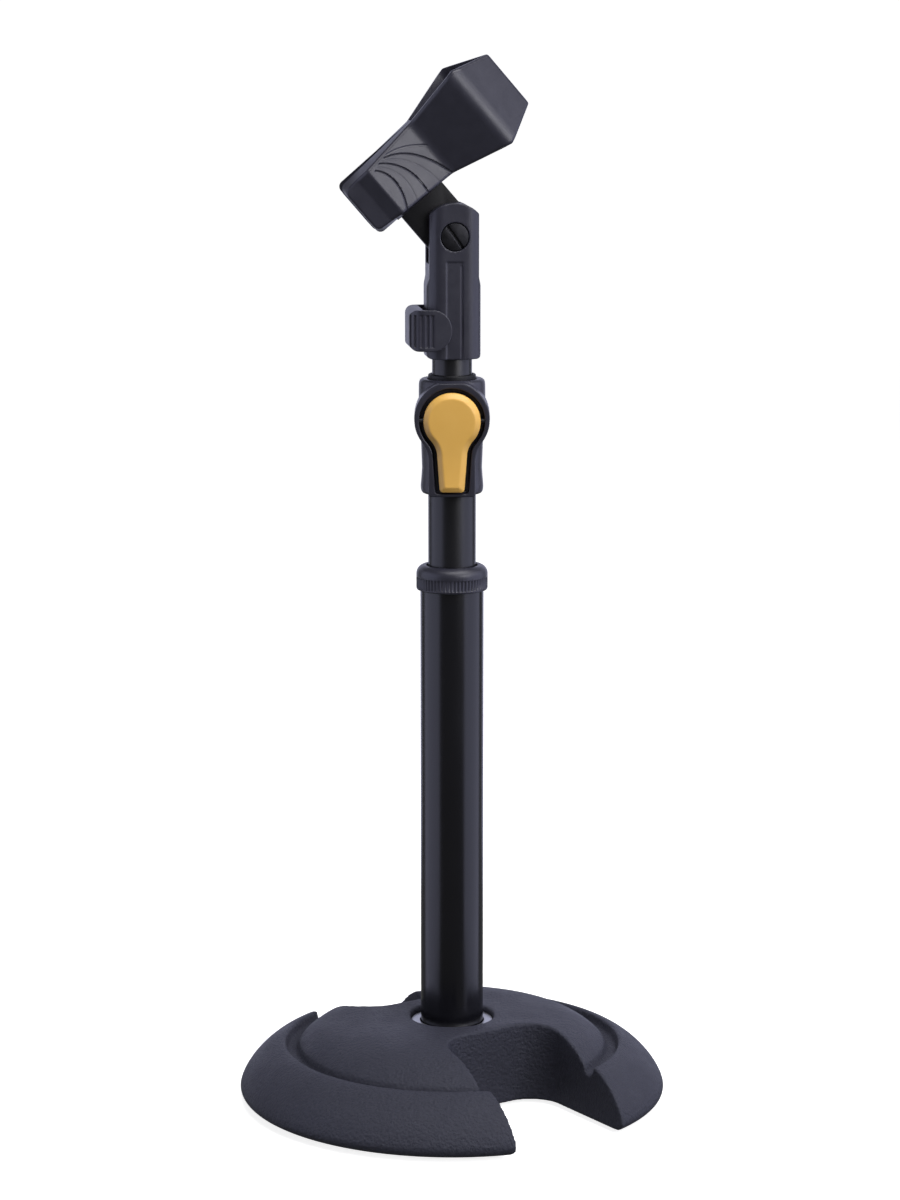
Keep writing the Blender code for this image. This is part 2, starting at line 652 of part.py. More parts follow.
def make_rod():
    inner = ROD_RADIUS - ROD_WALL
    ring("upper_rod", inner, ROD_RADIUS, ROD_FOOT, ROD_TOP, SATIN_TUBE, steps=40)
    guide = MAST_RADIUS - MAST_WALL - RUNNING_GAP
    turned("rod_end_bush", [
        (0.004, ROD_FOOT + 0.008),
        (inner - GAP, ROD_FOOT + 0.008),
        (inner - GAP, ROD_FOOT - GAP),
        (guide, ROD_FOOT - GAP),
        (guide, ROD_FOOT - 0.004),
        (0.004, ROD_FOOT - 0.004),
    ], WHITE, 32)
    groove = ROD_RADIUS - LATCH_GROOVE_DEPTH
    groove_low = LATCH_LOW - GAP
    groove_high = LATCH_LOW + LATCH_THICK + GAP
    turned("clip_adapter", [
        (0, ADAPTER_TOP),
        (ROD_RADIUS - 0.0012, ADAPTER_TOP),
        (ROD_RADIUS, ADAPTER_TOP - 0.0012),
        (ROD_RADIUS, groove_high),
        (groove, groove_high),
        (groove, groove_low),
        (ROD_RADIUS, groove_low),
        (ROD_RADIUS, ROD_TOP + GAP),
        (inner - GAP, ROD_TOP + GAP),
        (inner - GAP, ROD_TOP - 0.014),
        (0, ROD_TOP - 0.014),
    ], ZINC, 40)


# ---------------------------------------------------------------- neck

def fork_half_slot():
    return TONGUE_THICK / 2 + 2 * GAP + FORK_WASHER_THICK


def make_neck(head):
    half = NECK_WIDTH / 2
    depth = NECK_DEPTH / 2
    bore = ROD_RADIUS + RUNNING_GAP
    lean = math.degrees(math.acos(FORK_HALF_WIDTH / NECK_TOP_RADIUS))
    top = arc((0, PIVOT_HEIGHT), NECK_TOP_RADIUS, lean, 180 - lean, 14)
    outline = [(-half + 0.002, NECK_BOTTOM), (half - 0.002, NECK_BOTTOM), (half, NECK_BOTTOM + 0.002),
               (half, SHOULDER_LOW), (FORK_HALF_WIDTH, SHOULDER_HIGH), *top,
               (-FORK_HALF_WIDTH, SHOULDER_HIGH), (-half, SHOULDER_LOW), (-half, NECK_BOTTOM + 0.002)]
    neck = slab("neck_fork", outline, -depth, depth, CHARCOAL, plane="XZ", parent=head)
    corner = NECK_CORNER
    plan = rounded([(-half, -depth, corner), (half, -depth, corner), (half, depth, corner),
                    (-half, depth, corner)])
    trim(neck, slab("neck_plan", plan, 0, 1, None, parent=head))
    slot_floor = PIVOT_HEIGHT - TONGUE_RADIUS - 0.0005
    through = {"rotation": (90, 0, 0), "parent": head}
    pivot = (0, 0, PIVOT_HEIGHT)
    pin_spot = (RELEASE_PIVOT[0], 0, RELEASE_PIVOT[1])
    cut(neck,
        rod("neck_bore", bore, NECK_BOTTOM - 0.01, ADAPTER_TOP + GAP, None, 40, parent=head),
        box("fork_slot", (-FAR, -fork_half_slot(), slot_floor), (FAR, fork_half_slot(), 1), parent=head),
        rod("nut_recess", NUT_RADIUS + GAP, -FAR, -depth + NUT_THICK, None, 6, location=pivot, **through),
        stepped_hole("pivot_hole", SCREW_RADIUS + RUNNING_GAP, -FAR, depth - SCREW_RECESS,
                     SCREW_HEAD_RADIUS + GAP, location=pivot, **through),
        box("latch_window", (-FAR, -LATCH_HALF_WIDTH - 0.0005, LATCH_LOW - 0.0006),
            (-0.005, LATCH_HALF_WIDTH + 0.0005, LATCH_LOW + LATCH_THICK + 0.0006), parent=head),
        rod("front_pin_hole", RELEASE_PIN_RADIUS + GAP, depth - RELEASE_PIN_GRIP - GAP, FAR, None, 16,
            location=pin_spot, **through),
        rod("back_pin_hole", RELEASE_PIN_RADIUS + GAP, -FAR, RELEASE_PIN_GRIP + GAP - depth, None, 16,
            location=pin_spot, **through))
    make_pivot_screw(head, depth, pivot, through)
    for side, name in ((1, "front"), (-1, "back")):
        low = side * (depth - RELEASE_PIN_GRIP)
        high = side * (depth + RELEASE_SIDE_GAP + RELEASE_WALL - RELEASE_SKIN - GAP)
        rod(f"release_pin_{name}", RELEASE_PIN_RADIUS, min(low, high), max(low, high), STEEL, 16,
            location=pin_spot, **through)


def make_pivot_screw(head, depth, pivot, through):
    head_back = depth - SCREW_RECESS + GAP
    nut_back = -depth + NUT_THICK - GAP
    screw = rod("pivot_screw", SCREW_RADIUS, -depth, head_back + 0.0002, ZINC, 24, location=pivot, **through)
    join(screw, rod("pivot_screw_head", SCREW_HEAD_RADIUS, head_back, head_back + SCREW_HEAD_THICK, None,
                    32, location=pivot, **through))
    slot = box("driver_slot", (-0.02, -0.0006, head_back + SCREW_HEAD_THICK - SCREW_SLOT),
               (0.02, 0.0006, 0.1), location=pivot, parent=head)
    slot.rotation_euler = (Matrix.Rotation(math.radians(SCREW_SLOT_TURN), 3, "Y")
                           @ Matrix.Rotation(math.radians(90), 3, "X")).to_euler()
    cut(screw, slot)
    nut = rod("pivot_nut", NUT_RADIUS, -depth + 0.0002, nut_back, ZINC, 6, location=pivot, **through)
    cut(nut, rod("nut_hole", SCREW_RADIUS + GAP, -FAR, FAR, None, location=pivot, **through))
    for side, name in ((1, "front"), (-1, "back")):
        near = side * (TONGUE_THICK / 2 + GAP)
        far = near + side * FORK_WASHER_THICK
        ring(f"fork_washer_{name}", SCREW_RADIUS + RUNNING_GAP, FORK_WASHER_RADIUS, min(near, far),
             max(near, far), WHITE, 32, location=pivot, **through)


# ---------------------------------------------------------------- release lever

def ribbed_corner(centre, radius, start, end, ribs=5, depth=0.0007):
    """An arc whose radius dips between ribs, so that it grips the thumb."""
    steps = ribs * 4
    points = []
    for i in range(steps + 1):
        angle = math.radians(start + (end - start) * i / steps)
        dip = depth * max(0.0, math.cos(2 * math.pi * ribs * i / steps + math.pi))
        points.append((centre[0] + (radius - dip) * math.cos(angle),
                       centre[1] + (radius - dip) * math.sin(angle)))
    return points


def release_plan():
    """The U that wraps the neck, seen from above, with its closed side at -X."""
    inner_y = NECK_DEPTH / 2 + RELEASE_SIDE_GAP
    outer_y = inner_y + RELEASE_WALL
    inner_x = -NECK_WIDTH / 2 - RELEASE_BACK_GAP
    corner = RELEASE_CORNER
    front = ribbed_corner((-RELEASE_REACH + corner, -outer_y + corner), corner, 180, 270)
    back = [(x, -y) for x, y in reversed(front)]
    return [(FAR, outer_y), *back, *front, (FAR, -outer_y), (FAR, -inner_y), (inner_x, -inner_y),
            (inner_x, inner_y), (FAR, inner_y)]


def make_release(head):
    hinge = empty("release_hinge", (RELEASE_PIVOT[0], 0, RELEASE_PIVOT[1]), parent=head)
    x0, z0 = RELEASE_PIVOT
    plan = [(x - x0, y) for x, y in release_plan()]
    lever = slab("release_lever", plan, RELEASE_BOTTOM - z0, RELEASE_TOP - z0, CHARCOAL, parent=hinge)
    middle = (RELEASE_BOTTOM + RELEASE_TOP) / 2 - z0
    rise = (RELEASE_TOP - RELEASE_BOTTOM) / 2
    ear_centre = RELEASE_EAR_END - RELEASE_EAR_RADIUS - x0
    ear = [(ear_centre + x * RELEASE_EAR_RADIUS, middle + z * rise) for x, z in arc((0, 0), 1, -90, 90, 14)]
    corner = RELEASE_END_CORNER
    corner_x = corner - RELEASE_REACH - 0.0002 - x0
    outline = [*arc((corner_x, middle - rise + corner), corner, 180, 270), *ear,
               *arc((corner_x, middle + rise - corner), corner, 90, 180)]
    trim(lever, slab("release_side", outline, -FAR, FAR, None, plane="XZ", parent=hinge))
    nose = box("latch_nose", (-NECK_WIDTH / 2 - RELEASE_BACK_GAP - 0.001 - x0, -LATCH_HALF_WIDTH,
                              LATCH_LOW - z0),
               (-LATCH_TIP - x0, LATCH_HALF_WIDTH, LATCH_LOW + LATCH_THICK - z0), parent=hinge)
    join(lever, nose)
    skin = NECK_DEPTH / 2 + RELEASE_SIDE_GAP + RELEASE_WALL - RELEASE_SKIN
    cut(lever, rod("release_pin_bore", RELEASE_PIN_RADIUS + RUNNING_GAP, -skin, skin, None, 16,
                   rotation=(90, 0, 0), parent=hinge))


# ---------------------------------------------------------------- clip

def clip_point(u, n, m):
    """Clip axes to the tilt frame, whose origin is on the tilt screw."""
    return (u - PIVOT_U, -n, ARM_LENGTH - m)


def ear_outline(reach):
    """A disc round the jaw pin with a web to one side, in (u, n)."""
    return [*arc((JAW_PIN_U, 0), EAR_RADIUS, 180, 360, 12), (JAW_PIN_U + EAR_RADIUS, reach),
            (JAW_PIN_U - EAR_RADIUS, reach)]


def un_slab(name, outline, low_m, high_m, finish, tilt, side=1):
    """A slab drawn in (u, n) that runs from low_m to high_m across the clip."""
    points = [(u - PIVOT_U, -n * side) for u, n in outline]
    return slab(name, points, ARM_LENGTH - high_m, ARM_LENGTH - low_m, finish, plane="XY", parent=tilt)


def um_slab(name, outline, low_n, high_n, finish, tilt):
    """A slab drawn in (u, m) that runs from low_n to high_n out of the middle plane."""
    points = [(u - PIVOT_U, ARM_LENGTH - m) for u, m in outline]
    return slab(name, points, -high_n, -low_n, finish, plane="XZ", parent=tilt)


def make_tongue(tilt):
    inner_half = 0.008
    rim = ARM_LENGTH - HANDLE_HALF
    inside = PIVOT_U - 0.0125
    outline = [*arc((0, 0), TONGUE_RADIUS, 180, 360, 16), (TONGUE_RADIUS, rim - 0.001),
               (JAW_PIN_U - PIVOT_U - EAR_RADIUS - 0.002, rim + 0.0015),
               (JAW_PIN_U - PIVOT_U - EAR_RADIUS - 0.002, ARM_LENGTH + inner_half),
               (-inside, ARM_LENGTH + inner_half), (-inside, rim + 0.0015), (-TONGUE_RADIUS, rim - 0.001)]
    half = TONGUE_THICK / 2
    tongue = slab("clip_tongue", outline, -half, half, BLACK, plane="XZ", parent=tilt)
    for side in (1, -1):
        low, high = sorted((side * 0.0043, side * 0.0059))
        lug = [*arc((JAW_PIN_U, 0), EAR_RADIUS, -90, 90, 8), (JAW_PIN_U - 0.007, EAR_RADIUS),
               (JAW_PIN_U - 0.007, -EAR_RADIUS)]
        join(tongue, un_slab(f"tongue_lug_{'a' if side > 0 else 'b'}", lug, low, high, None, tilt))
    pin = clip_point(JAW_PIN_U, 0, 0)
    cut(tongue,
        rod("tongue_bore", SCREW_RADIUS + RUNNING_GAP, -FAR, FAR, None, rotation=(90, 0, 0), parent=tilt),
        rod("tongue_pin_bore", JAW_PIN_RADIUS + GAP, -0.02, 0.02, None, 20, location=pin, parent=tilt))
    rod("jaw_pin", JAW_PIN_RADIUS, -0.0098, 0.0098, STEEL, 20, location=pin, parent=tilt)
    leg = [(-0.0095, half + 0.0011), (-0.0055, half + 0.0008), (-0.003, 0.0034)]
    coil("jaw_spring", JAW_PIN_RADIUS + 0.0011, 0.00035, -0.0036, 0.0036, 6.5, STEEL,
         lead_in=[(x, y, -0.0036) for x, y in leg],
         lead_out=[(x, -y, 0.0036) for x, y in reversed(leg)], location=pin, parent=tilt)


def jaw_path(depth):
    """A line in (u, n) this deep under the jaw's outside, from the handle's end to the tip."""
    corners = [(0, LIP_N), (0.007, LIP_N + 0.0004), (0.012, FOLD_N), (WAIST_U, WAIST_N),
               (RIDGE_U, RIDGE_N), (JAW_LENGTH, TIP_N)]
    radii = (0, 0.003 + depth, max(0.002 - depth, 0.0006), 0.006 + depth, max(0.0045 - depth, 0.0006), 0)
    path = inset(corners, depth)
    return rounded([(*point, radius) for point, radius in zip(path, radii)], steps=4, closed=False)


def jaw_half_width(shrink):
    """Corners of the jaw's outline in (u, m), brought in by shrink."""
    return [(shrink, HANDLE_HALF - shrink), (WAIST_U, WAIST_HALF - shrink), (RIDGE_U, RIDGE_HALF - shrink),
            (JAW_LENGTH, TIP_HALF - shrink)]


def jaw_outline():
    radii = (0.0025, 0.006, 0.002, 0.0008)
    upper = [(u, m, radius) for (u, m), radius in zip(jaw_half_width(0), radii)]
    lower = [(u, -m, radius) for u, m, radius in reversed(upper)]
    return rounded(upper + lower, steps=3)


def make_jaw(name, side, ear_inner, tilt):
    """One jaw: a bent wall with side walls along its handle and two ears on the pin."""
    outside = jaw_path(0)
    inner = jaw_path(JAW_WALL)
    head = [point for point in inner if point[0] > WAIST_U + 0.0009]
    edge = [(head[0][0], JAW_EDGE_GAP), (JAW_PIN_U, JAW_EDGE_GAP), (0, JAW_OPENING)]
    jaw = un_slab(name, outside + head[::-1] + edge, -FAR, FAR, CHARCOAL, tilt, side)
    trim(jaw, um_slab(name + "_outline", jaw_outline(), -FAR, FAR, None, tilt))
    handle = [point for point in inner if point[0] < WAIST_U]
    handle[0] = (JAW_WALL, handle[0][1])
    roof = handle[-1][1]
    hollow = un_slab(name + "_hollow", [(JAW_WALL, -0.005), *handle, (head[0][0] + 0.002, roof),
                                        (head[0][0] + 0.002, -0.005)], -FAR, FAR, None, tilt, side)
    walls = jaw_half_width(JAW_WALL)[:3]
    inside = [(u, m) for u, m in walls] + [(u, -m) for u, m in reversed(walls)]
    trim(hollow, um_slab(name + "_inside", inside, -FAR, FAR, None, tilt))
    swing = math.tan(math.radians(10))
    notch_low, notch_high = 0.009, 0.0335
    base = TONGUE_THICK / 2 + 0.0006
    gate = un_slab(name + "_gate", [
        (notch_low, -0.005), (notch_low, base + (JAW_PIN_U - notch_low) * swing),
        (notch_high, base + (JAW_PIN_U - notch_high) * swing), (notch_high, -0.005),
    ], 0.007, FAR, None, tilt, side)
    cut(jaw, hollow, gate)
    for across in (1, -1):
        low, high = sorted((across * ear_inner, across * (ear_inner + EAR_THICK)))
        join(jaw, un_slab(f"{name}_ear_{'a' if across > 0 else 'b'}",
                          ear_outline(WAIST_N - 0.001), low, high, None, tilt, side))
    pin = clip_point(JAW_PIN_U, 0, 0)
    cut(jaw, rod(name + "_pin_bore", JAW_PIN_RADIUS + RUNNING_GAP, -0.0102, 0.0102, None, 20, location=pin,
                 parent=tilt))
    pad_outer = [point for point in jaw_path(JAW_WALL + GAP) if point[0] > PAD_START]
    pad_inner = [point for point in jaw_path(JAW_WALL + GAP + PAD_THICK) if point[0] > PAD_START]
    last = len(pad_outer) - 1
    shorten = 0.8
    ends = [tuple(Vector(path[last - 1]).lerp(Vector(path[last]), shorten)) for path in (pad_outer, pad_inner)]
    pad = pad_outer[:-1] + [ends[0], ends[1]] + pad_inner[:-1][::-1]
    un_slab(name.replace("jaw", "pad"), pad, -PAD_HALF, PAD_HALF, RUBBER, tilt, side)


def make_clip(head):
    tilt = empty("clip_tilt", (0, 0, PIVOT_HEIGHT), (0, -CLIP_TILT, 0), parent=head)
    make_tongue(tilt)
    make_jaw("front_jaw", 1, 0.0082, tilt)
    make_jaw("rear_jaw", -1, 0.0062, tilt)


make_base()
make_column()
make_mast()
make_clutch()
make_rod()
HEAD = empty("head_turn", rotation=(0, 0, HEAD_TURN))
make_neck(HEAD)
make_release(HEAD)
make_clip(HEAD)
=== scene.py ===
"""Looks of the low microphone stand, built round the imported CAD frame.

Metres, +Z up, in the CAD's own frame: the column is on the Z axis and the clutch lever faces -Y.
"""
import json
import math

import bmesh
import bpy
import numpy as np
from mathutils import Matrix, Vector


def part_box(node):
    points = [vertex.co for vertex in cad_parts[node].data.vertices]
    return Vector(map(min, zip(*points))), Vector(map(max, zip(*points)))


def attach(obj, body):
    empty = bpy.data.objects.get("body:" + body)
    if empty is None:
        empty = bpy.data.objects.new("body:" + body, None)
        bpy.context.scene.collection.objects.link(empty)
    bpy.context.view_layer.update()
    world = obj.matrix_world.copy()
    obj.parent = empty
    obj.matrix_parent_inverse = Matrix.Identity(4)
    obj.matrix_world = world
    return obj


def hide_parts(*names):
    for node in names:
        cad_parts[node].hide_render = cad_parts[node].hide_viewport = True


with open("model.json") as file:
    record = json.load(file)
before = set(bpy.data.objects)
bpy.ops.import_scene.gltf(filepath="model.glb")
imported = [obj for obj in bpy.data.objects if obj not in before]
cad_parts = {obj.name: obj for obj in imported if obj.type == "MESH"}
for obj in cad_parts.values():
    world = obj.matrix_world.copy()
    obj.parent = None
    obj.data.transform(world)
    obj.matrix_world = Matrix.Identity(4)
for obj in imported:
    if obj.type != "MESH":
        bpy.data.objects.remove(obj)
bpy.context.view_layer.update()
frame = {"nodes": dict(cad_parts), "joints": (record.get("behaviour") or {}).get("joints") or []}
JOINTS = {joint["name"]: joint for joint in frame["joints"]}

MM = 0.001
FAR = 1.0
ROUND_STEPS = 144


# ---------------------------------------------------------------- frames of the turned parts

def low(node):
    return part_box(node)[0]


def high(node):
    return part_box(node)[1]


def joint_point(name):
    return Vector(JOINTS[name]["pos_m"])


def joint_axis(name):
    return Vector(JOINTS[name]["axis"])


TILT_AXIS = joint_axis("clip_tilt")
HEAD_YAW = math.atan2(-TILT_AXIS.x, TILT_AXIS.y)
PIN_AXIS = joint_axis("front_jaw_open")
CLIP_TILT = math.atan2(PIN_AXIS.xy.length, -PIN_AXIS.z)
HEAD = Matrix.Rotation(HEAD_YAW, 4, "Z")
CLIP = Matrix.Translation(joint_point("clip_tilt")) @ HEAD @ Matrix.Rotation(-CLIP_TILT, 4, "Y")
BASE_TURN = Matrix.Rotation(math.radians(34.0), 4, "Z")


# ---------------------------------------------------------------- materials

class Nodes:
    """Adds and links shader nodes with little writing."""

    def __init__(self, name):
        self.material = bpy.data.materials.new(name)
        self.material.use_nodes = True
        self.tree = self.material.node_tree
        self.shader = self.tree.nodes["Principled BSDF"]
        self.place = self.add("ShaderNodeTexCoord").outputs["Object"]

    def add(self, kind, **settings):
        node = self.tree.nodes.new(kind)
        for key, value in settings.items():
            setattr(node, key, value)
        return node

    def link(self, source, target):
        self.tree.links.new(source, target)

    def noise(self, size, detail=4.0, roughness=0.55, stretch=None):
        """Noise whose features are about size across, in metres."""
        node = self.add("ShaderNodeTexNoise")
        node.inputs["Scale"].default_value = 1.0
        node.inputs["Detail"].default_value = detail
        node.inputs["Roughness"].default_value = roughness
        spread = self.add("ShaderNodeMapping")
        spread.inputs["Scale"].default_value = [part / size for part in (stretch or (1, 1, 1))]
        self.link(self.place, spread.inputs["Vector"])
        self.link(spread.outputs["Vector"], node.inputs["Vector"])
        return node.outputs["Fac"]

    def cells(self, size):
        node = self.add("ShaderNodeTexVoronoi")
        node.inputs["Scale"].default_value = 1 / size
        self.link(self.place, node.inputs["Vector"])
        return node.outputs["Distance"]

    def remap(self, source, first, last):
        """A 0 to 1 value moved to first to last, through the middle of the noise's own range."""
        node = self.add("ShaderNodeMapRange")
        node.inputs["From Min"].default_value = 0.3
        node.inputs["From Max"].default_value = 0.7
        node.inputs["To Min"].default_value = first
        node.inputs["To Max"].default_value = last
        self.link(source, node.inputs["Value"])
        return node.outputs["Result"]

    def blend(self, source, first, last):
        node = self.add("ShaderNodeMix", data_type="RGBA")
        node.inputs[6].default_value = (*first, 1)
        node.inputs[7].default_value = (*last, 1)
        self.link(source, node.inputs["Factor"])
        return node.outputs[2]

    def bump(self, height, strength, distance, normal=None):
        node = self.add("ShaderNodeBump")
        node.inputs["Strength"].default_value = strength
        node.inputs["Distance"].default_value = distance
        self.link(height, node.inputs["Height"])
        if normal:
            self.link(normal, node.inputs["Normal"])
        return node.outputs["Normal"]

    def worn(self, colour, edge_colour, amount):
        """The colour, lighter where an edge sticks out and handling has rubbed it."""
        geometry = self.add("ShaderNodeNewGeometry")
        ramp = self.add("ShaderNodeMapRange")
        ramp.inputs["From Min"].default_value = 0.54
        ramp.inputs["From Max"].default_value = 0.66
        ramp.inputs["To Max"].default_value = amount
        self.link(geometry.outputs["Pointiness"], ramp.inputs["Value"])
        node = self.add("ShaderNodeMix", data_type="RGBA")
        node.inputs[7].default_value = (*edge_colour, 1)
        self.link(ramp.outputs["Result"], node.inputs["Factor"])
        self.link(colour, node.inputs[6])
        return node.outputs[2]


def finish_material(nodes, colour, roughness, normal, specular=0.5, metallic=0.0):
    shader = nodes.shader
    nodes.link(colour, shader.inputs["Base Color"])
    nodes.link(roughness, shader.inputs["Roughness"])
    nodes.link(normal, shader.inputs["Normal"])
    shader.inputs["Specular IOR Level"].default_value = specular
    shader.inputs["Metallic"].default_value = metallic
    return nodes.material


def powder_coat():
    """Coarse dark coating: small lumps, a little mottled, rubbed lighter on its edges."""
    nodes = Nodes("powder_coat")
    broad = nodes.noise(12 * MM, 5)
    mottle = nodes.noise(1.5 * MM, 6, 0.75)
    pebbles = nodes.cells(1.3 * MM)
    colour = nodes.blend(mottle, (0.026, 0.027, 0.042), (0.046, 0.048, 0.068))
    colour = nodes.worn(colour, (0.10, 0.11, 0.14), 0.35)
    normal = nodes.bump(pebbles, 0.8, 0.3 * MM, nodes.bump(mottle, 1.0, 0.7 * MM))
    return finish_material(nodes, colour, nodes.remap(broad, 0.48, 0.60), normal, 0.35)


def nylon(name, dark, light, smooth, rough, specular=0.4):
    nodes = Nodes(name)
    broad = nodes.noise(6 * MM, 4)
    grain = nodes.noise(0.25 * MM, 3, 0.6)
    colour = nodes.worn(nodes.blend(broad, dark, light), tuple(2 * part for part in light), 0.2)
    normal = nodes.bump(grain, 0.3, 0.05 * MM)
    return finish_material(nodes, colour, nodes.remap(broad, smooth, rough), normal, specular)


def gloss_paint(name, colour, smooth, rough):
    nodes = Nodes(name)
    broad = nodes.noise(14 * MM, 4, stretch=(1, 1, 0.3))
    peel = nodes.noise(1.6 * MM, 2)
    tint = nodes.blend(broad, colour, tuple(1.5 * part for part in colour))
    normal = nodes.bump(peel, 0.06, 0.05 * MM)
    return finish_material(nodes, tint, nodes.remap(broad, smooth, rough), normal)


def lever_plastic():
    nodes = Nodes("lever_plastic")
    broad = nodes.noise(7 * MM, 3)
    grain = nodes.noise(0.3 * MM, 3)
    colour = nodes.blend(broad, (0.86, 0.49, 0.105), (0.91, 0.54, 0.125))
    normal = nodes.bump(grain, 0.12, 0.04 * MM)
    return finish_material(nodes, colour, nodes.remap(broad, 0.34, 0.44), normal)


def metal(name, dark, light, smooth, rough, stretch=(1, 1, 1)):
    nodes = Nodes(name)
    broad = nodes.noise(2 * MM, 5, stretch=stretch)
    colour = nodes.blend(broad, dark, light)
    normal = nodes.bump(broad, 0.15, 0.03 * MM)
    return finish_material(nodes, colour, nodes.remap(broad, smooth, rough), normal, metallic=1.0)


def rubber():
    nodes = Nodes("rubber")
    broad = nodes.noise(3 * MM, 4)
    grain = nodes.noise(0.35 * MM, 3)
    colour = nodes.blend(broad, (0.008, 0.008, 0.008), (0.014, 0.014, 0.015))
    return finish_material(nodes, colour, nodes.remap(broad, 0.75, 0.9), nodes.bump(grain, 0.3, 0.06 * MM))


POWDER = powder_coat()
CHARCOAL = nylon("charcoal_nylon", (0.023, 0.023, 0.036), (0.031, 0.031, 0.046), 0.33, 0.42, 0.5)
BLACK = nylon("black_nylon", (0.004, 0.004, 0.005), (0.007, 0.007, 0.009), 0.42, 0.55, 0.3)
GLOSS = gloss_paint("gloss_tube_paint", (0.004, 0.004, 0.006), 0.20, 0.27)
SATIN = gloss_paint("satin_tube_paint", (0.005, 0.005, 0.007), 0.26, 0.34)
YELLOW = lever_plastic()
ZINC = metal("zinc_plate", (0.46, 0.47, 0.49), (0.60, 0.60, 0.61), 0.3, 0.45)
BLACKENED = metal("blackened_steel", (0.030, 0.030, 0.034), (0.05, 0.05, 0.055), 0.32, 0.42)
STEEL = metal("spring_steel", (0.28, 0.28, 0.29), (0.38, 0.38, 0.39), 0.3, 0.42)
ACETAL = nylon("natural_acetal", (0.62, 0.61, 0.57), (0.68, 0.67, 0.63), 0.35, 0.45)
RUBBER = rubber()


# ---------------------------------------------------------------- meshes

def arc(centre, radius, start, end, steps=8):
    angles = [math.radians(start + (end - start) * i / steps) for i in range(steps + 1)]
    return [(centre[0] + radius * math.cos(a), centre[1] + radius * math.sin(a)) for a in angles]


def rounded(corners, steps=6, closed=True):
    """An outline from (x, y, radius) corners, each rounded by its own radius."""
    points = []
    count = len(corners)
    for i, (x, y, radius) in enumerate(corners):
        here = Vector((x, y))
        is_end = not closed and i in (0, count - 1)
        if radius <= 0 or is_end:
            points.append((x, y))
            continue
        before = (Vector(corners[i - 1][:2]) - here).normalized()
        after = (Vector(corners[(i + 1) % count][:2]) - here).normalized()
        half = before.angle(after) / 2
        centre = here + (before + after).normalized() * radius / math.sin(half)
        first = here + before * radius / math.tan(half) - centre
        last = here + after * radius / math.tan(half) - centre
        sweep = first.angle_signed(last)
        for step in range(steps + 1):
            points.append(tuple(centre + Matrix.Rotation(-sweep * step / steps, 2) @ first))
    return points


def mesh_from(vertices, faces, matrix=None):
    mesh = bpy.data.meshes.new("shape")
    mesh.from_pydata([tuple(vertex) for vertex in vertices], [], faces)
    build = bmesh.new()
    build.from_mesh(mesh)
    bmesh.ops.remove_doubles(build, verts=build.verts, dist=0.000001)
    bmesh.ops.dissolve_degenerate(build, edges=build.edges, dist=0.0000005)
    bmesh.ops.recalc_face_normals(build, faces=build.faces)
    build.to_mesh(mesh)
    build.free()
    if matrix is not None:
        mesh.transform(matrix)
    return mesh


def lathe(profile, steps=ROUND_STEPS, shape=None, matrix=None):
    """A loop of (radius, height) points turned about Z. shape(angle, radius, height) may move a radius."""
    vertices = []
    for i in range(steps):
        angle = 2 * math.pi * i / steps
        for radius, height in profile:
            reach = shape(angle, radius, height) if shape else radius
            vertices.append((reach * math.cos(angle), reach * math.sin(angle), height))
    count = len(profile)
    faces = []
    for i in range(steps):
        for j in range(count):
            ahead = (i + 1) % steps * count
            faces.append((i * count + j, i * count + (j + 1) % count, ahead + (j + 1) % count, ahead + j))
    return mesh_from(vertices, faces, matrix)


def prism(outline, low_end, high_end, plane="XY", matrix=None):
    """A flat outline made solid along the axis that its plane leaves out."""
    place = {"XY": lambda a, b, h: (a, b, h), "XZ": lambda a, b, h: (a, h, b),
             "YZ": lambda a, b, h: (h, a, b)}[plane]
    count = len(outline)
    vertices = [place(a, b, end) for end in (low_end, high_end) for a, b in outline]
    faces = [tuple(range(count)), tuple(range(2 * count - 1, count - 1, -1))]
    faces += [(i, (i + 1) % count, count + (i + 1) % count, count + i) for i in range(count)]
    return mesh_from(vertices, faces, matrix)


def block(low_corner, high_corner, matrix=None):
    (x0, y0, z0), (x1, y1, z1) = low_corner, high_corner
    return prism([(x0, y0), (x1, y0), (x1, y1), (x0, y1)], z0, z1, "XY", matrix)


def pin(radius, low_end, high_end, matrix=None, steps=48):
    """A cylinder along Z, for drilling and for small shafts."""
    return prism(arc((0, 0), radius, 0, 360 - 360 / steps, steps - 1), low_end, high_end, "XY", matrix)


def along_y(x, z, turn=None):
    """Stands a cylinder's axis along Y at (x, z), in the frame turn."""
    place = Matrix.Translation((x, 0, z)) @ Matrix.Rotation(math.pi / 2, 4, "X")
    return place if turn is None else turn @ place


def evaluated(obj):
    bpy.context.view_layer.update()
    graph = bpy.context.evaluated_depsgraph_get()
    mesh = bpy.data.meshes.new_from_object(obj.evaluated_get(graph), depsgraph=graph)
    bpy.data.objects.remove(obj)
    return mesh


def temporary(mesh):
    obj = bpy.data.objects.new("work", mesh)
    bpy.context.scene.collection.objects.link(obj)
    return obj


def combined(mesh, *changes):
    """The mesh after each (operation, other mesh) Boolean in turn."""
    obj = temporary(mesh)
    tools = []
    for operation, other in changes:
        tool = temporary(other)
        tools.append(tool)
        change = obj.modifiers.new("change", "BOOLEAN")
        change.operation = operation
        change.solver = "EXACT"
        change.object = tool
    made = evaluated(obj)
    for tool in tools:
        bpy.data.objects.remove(tool)
    return made


